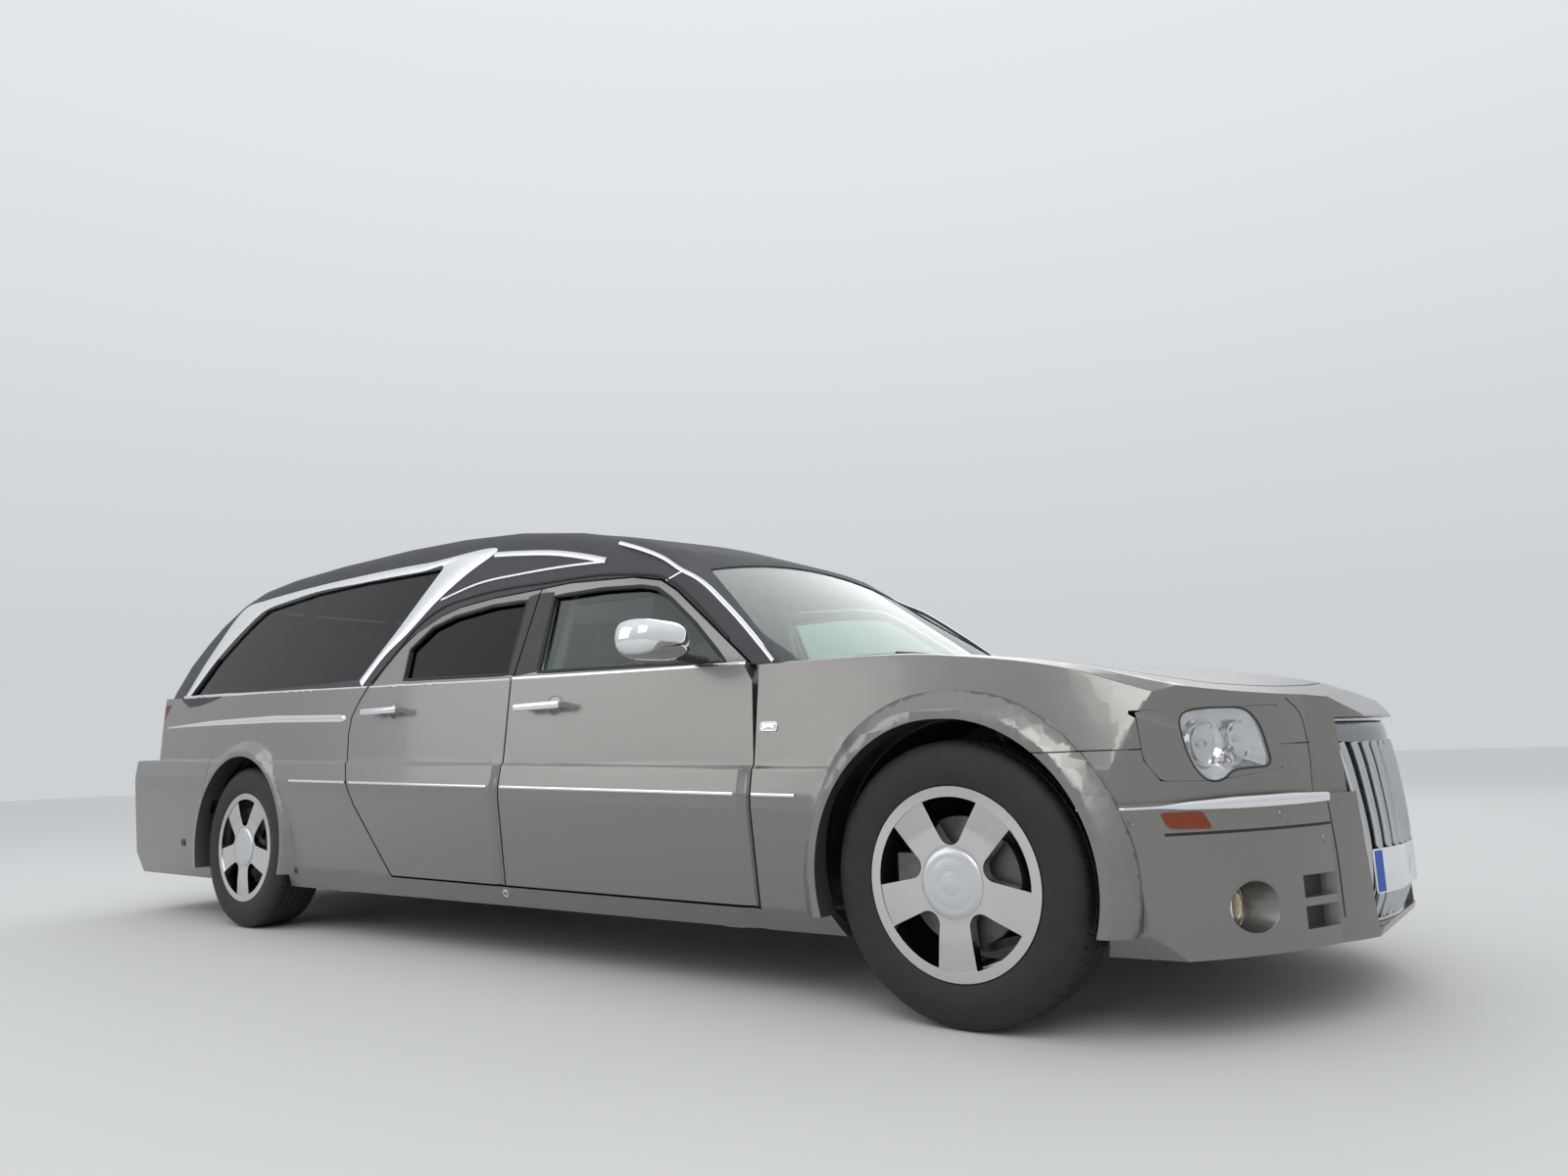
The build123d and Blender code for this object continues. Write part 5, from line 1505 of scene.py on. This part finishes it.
class HEARSE_OT_seats(bpy.types.Operator):
    """Padded seats with sewn channels, on plain frames, and a round steering wheel"""

    bl_idname = "hearse.seats"
    bl_label = "Seats and steering wheel"

    def execute(self, context):
        front = []
        for side in SIDES:
            for row in FRONT_PADS:
                front.append(self.add_pad("front_seat", side, row))
            self.add_frame(f"front_seat_frame_{side}", (0.440, SIDES[side] * SEAT_Y, 0.352),
                           (0.200, 0.200, 0.088))
        bench = [self.add_pad("bench", "middle", row) for row in BENCH_PADS]
        self.add_frame("bench_frame", (-0.420, 0.0, 0.385), (0.180, 0.600, 0.055))
        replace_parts(front[0], "front_seats")
        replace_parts(bench[0], "rear_bench")
        self.add_steering_wheel()
        panel("dashboard", "black_plastic", BODY, follow=False, bevel=0.010)
        return {"FINISHED"}

    def add_pad(self, kind, side, row):
        name, middle, half, lean, channels, square, fill = row
        center = np.array(middle) * [1.0, SIDES.get(side, 1.0), 1.0]
        pad = build(f"{kind}_{name}_{side}", pad_surface(center, half, lean, channels, square),
                    "seat_leather", BODY)
        return pad

    def add_frame(self, name, middle, half):
        """Moulded seat base: a superellipsoid that is nearly a box."""
        build(name, pad_surface(middle, half, 0.0, 0, 0.2, 24, 48), "black_plastic", BODY)

    def add_steering_wheel(self):
        """Torus rim about the column, a domed hub and three flattened spokes."""
        axis = np.array(COLUMN_AXIS) / np.linalg.norm(COLUMN_AXIS)
        center = np.array(COLUMN_CENTER) + [MID_WHEELBASE, 0.0, 0.0]
        across = np.array([0.0, 1.0, 0.0])
        up = np.cross(axis, across)
        turn = np.arange(72) * 2 * math.pi / 72
        outward = np.outer(np.cos(turn), across) + np.outer(np.sin(turn), up)
        small = np.arange(14) * 2 * math.pi / 14
        profile = np.stack([np.cos(small), np.sin(small)], 1) * GRIP_RADIUS
        parts = [carried(center + outward * RIM_RADIUS, outward, profile, closed=True),
                 turned_about(HUB_SECTION, center, axis, 48)]
        steps = np.linspace(*SPOKE_REACH, 8)[:, None]
        for direction in (across, -across, -up if up[2] > 0 else up):
            spoke = center + direction * steps - axis * 0.004
            parts.append(carried(spoke, np.tile(axis, (len(steps), 1)), rounded(0.036, 0.010)))
        wheel = build("steering_wheel_rim", joined(parts), "black_plastic", "steering_wheel")
        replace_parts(wheel, "steering_wheel")


class HEARSE_OT_node_finishes(bpy.types.Operator):
    """Finishes of the pieces whose CAD form is kept"""

    bl_idname = "hearse.node_finishes"
    bl_label = "Finishes"

    def execute(self, context):
        slots = {part["node"]: part["material_slot"] for part in frame["record"]["subparts"]}
        for node, piece in frame["nodes"].items():
            piece.data.materials.clear()
            piece.data.materials.append(finish(slots[node]))
        return {"FINISHED"}


# Lamps: name, place, size, share of the power
LAMPS = [("key", (5.0, -7.0, 7.0), 6.0, 1.0), ("fill", (-6.0, -8.0, 5.0), 7.0, 0.6),
         ("back", (-2.0, 8.0, 7.0), 7.0, 0.6)]
LAMP_TARGET, FLOOR_HALF = (0, 0, 0.8), 40
# Camera: place from mid wheelbase, then turn, rise and roll in radians, and focal length and frame in pixels
CAMERA_PLACE, CAMERA_TURN, CAMERA_RISE, CAMERA_ROLL = (3.2753, -3.3918, 0.710), 0.6572, 0.1511, -0.0359
FOCAL_PIXELS, FRAME_PIXELS, SENSOR_WIDTH = 1099.23, 1600.0, 36.0
# World as seen and as light: brightness at the ground, its rise, and the heights between which it rises
BACKDROP, SKY_LIGHT, WORLD_COLOR = (0.66, 0.30, 0.10, 0.85), (0.45, 0.55, 0.0, 0.75), (0.93, 0.96, 1.0)


class HEARSE_OT_stage(bpy.types.Operator):
    """Pale floor, soft studio light and the camera at the photo's place"""

    bl_idname = "hearse.stage"
    bl_label = "Stage"

    def execute(self, context):
        corners = [(x, y, 0) for x, y in rectangle(-FLOOR_HALF, FLOOR_HALF, -FLOOR_HALF, FLOOR_HALF)]
        mesh = bpy.data.meshes.new("floor")
        mesh.from_pydata(corners, [], [(0, 1, 2, 3)])
        floor = bpy.data.objects.new("floor", mesh)
        context.collection.objects.link(floor)
        ground = Finish("floor", (0.62, 0.62, 0.61), 0.75)
        ground.put(Roughness=0.65 + ground.noise(2.0) * 0.2)
        mesh.materials.append(ground.material)
        self.add_world(context)
        power = context.scene.hearse_sizes.lamp_power
        for name, place, size, share in LAMPS:
            light = bpy.data.lights.new(name, "AREA")
            light.energy = power * share
            light.size = size
            lamp = bpy.data.objects.new(name, light)
            lamp.location = place
            lamp.rotation_euler = (Vector(LAMP_TARGET) - Vector(place)).to_track_quat("-Z", "Y").to_euler()
            context.collection.objects.link(lamp)
        self.add_camera(context)
        return {"FINISHED"}

    def add_world(self, context):
        """Sky that is pale for the eye and glass, and shades from grey ground to bright zenith for light."""
        world = bpy.data.worlds.new("studio")
        world.use_nodes = True
        context.scene.world = world
        tree = world.node_tree
        background = tree.nodes["Background"]
        path = add_node(tree, "ShaderNodeLightPath")
        seen = [Shade(tree, path.outputs[f"Is {kind} Ray"]) for kind in ("Camera", "Glossy", "Transmission")]
        place = Shade(tree, add_node(tree, "ShaderNodeTexCoord").outputs["Generated"])
        height = Shade(tree, add_node(tree, "ShaderNodeSeparateXYZ", sockets={"Vector": place}).outputs["Z"])
        share = (seen[0] + seen[1] + seen[2]).clamp()
        backdrop, light = [base + height.step(low, high) * rise
                           for base, rise, low, high in (BACKDROP, SKY_LIGHT)]
        strength = share * backdrop + (1.0 - share) * light
        fill(tree, background.inputs["Color"], WORLD_COLOR)
        fill(tree, background.inputs["Strength"], strength)

    def add_camera(self, context):
        """Camera as fitted to the photo."""
        turn, rise, roll = CAMERA_TURN, CAMERA_RISE, CAMERA_ROLL
        forward = Vector((-math.sin(turn) * math.cos(rise), math.cos(turn) * math.cos(rise), math.sin(rise)))
        right = forward.cross(Vector((0, 0, 1))).normalized()
        up = right.cross(forward)
        right, up = (math.cos(roll) * right + math.sin(roll) * up,
                     -math.sin(roll) * right + math.cos(roll) * up)
        data = bpy.data.cameras.new("photo_view")
        data.sensor_width = SENSOR_WIDTH
        data.lens = FOCAL_PIXELS / FRAME_PIXELS * SENSOR_WIDTH
        camera = bpy.data.objects.new("photo_view", data)
        turned = Matrix((right, up, -forward)).transposed().to_4x4()
        turned.translation = Vector(CAMERA_PLACE) + Vector((MID_WHEELBASE, 0.0, 0.0))
        camera.matrix_world = turned
        context.collection.objects.link(camera)
        context.scene.camera = camera
        context.scene.view_settings.view_transform = "Standard"


class HEARSE_PT_panel(bpy.types.Panel):
    """Hearse pieces"""

    bl_idname = "HEARSE_PT_panel"
    bl_label = "Hearse"
    bl_space_type = "VIEW_3D"
    bl_region_type = "UI"
    bl_category = "Hearse"

    def draw(self, context):
        for group in (context.scene.hearse_colors, context.scene.hearse_sizes):
            for key in group.__annotations__:
                self.layout.prop(group, key)
        for operator in OPERATORS:
            self.layout.operator(operator.bl_idname)


OPERATORS = [
    HEARSE_OT_node_finishes,
    HEARSE_OT_painted_panels,
    HEARSE_OT_roof,
    HEARSE_OT_mouldings,
    HEARSE_OT_tyres,
    HEARSE_OT_rims,
    HEARSE_OT_lamps,
    HEARSE_OT_front_trim,
    HEARSE_OT_mirrors_handles,
    HEARSE_OT_seats,
    HEARSE_OT_stage,
]
CLASSES = [HearseColors, HearseSizes, *OPERATORS, HEARSE_PT_panel]


def register():
    for made in CLASSES:
        bpy.utils.register_class(made)
    bpy.types.Scene.hearse_colors = PointerProperty(type=HearseColors)
    bpy.types.Scene.hearse_sizes = PointerProperty(type=HearseSizes)


def unregister():
    del bpy.types.Scene.hearse_colors
    del bpy.types.Scene.hearse_sizes
    for made in reversed(CLASSES):
        bpy.utils.unregister_class(made)


def main():
    register()
    for operator in OPERATORS:
        group, name = operator.bl_idname.split(".")
        getattr(getattr(bpy.ops, group), name)()


if __name__ == "__main__":
    main()
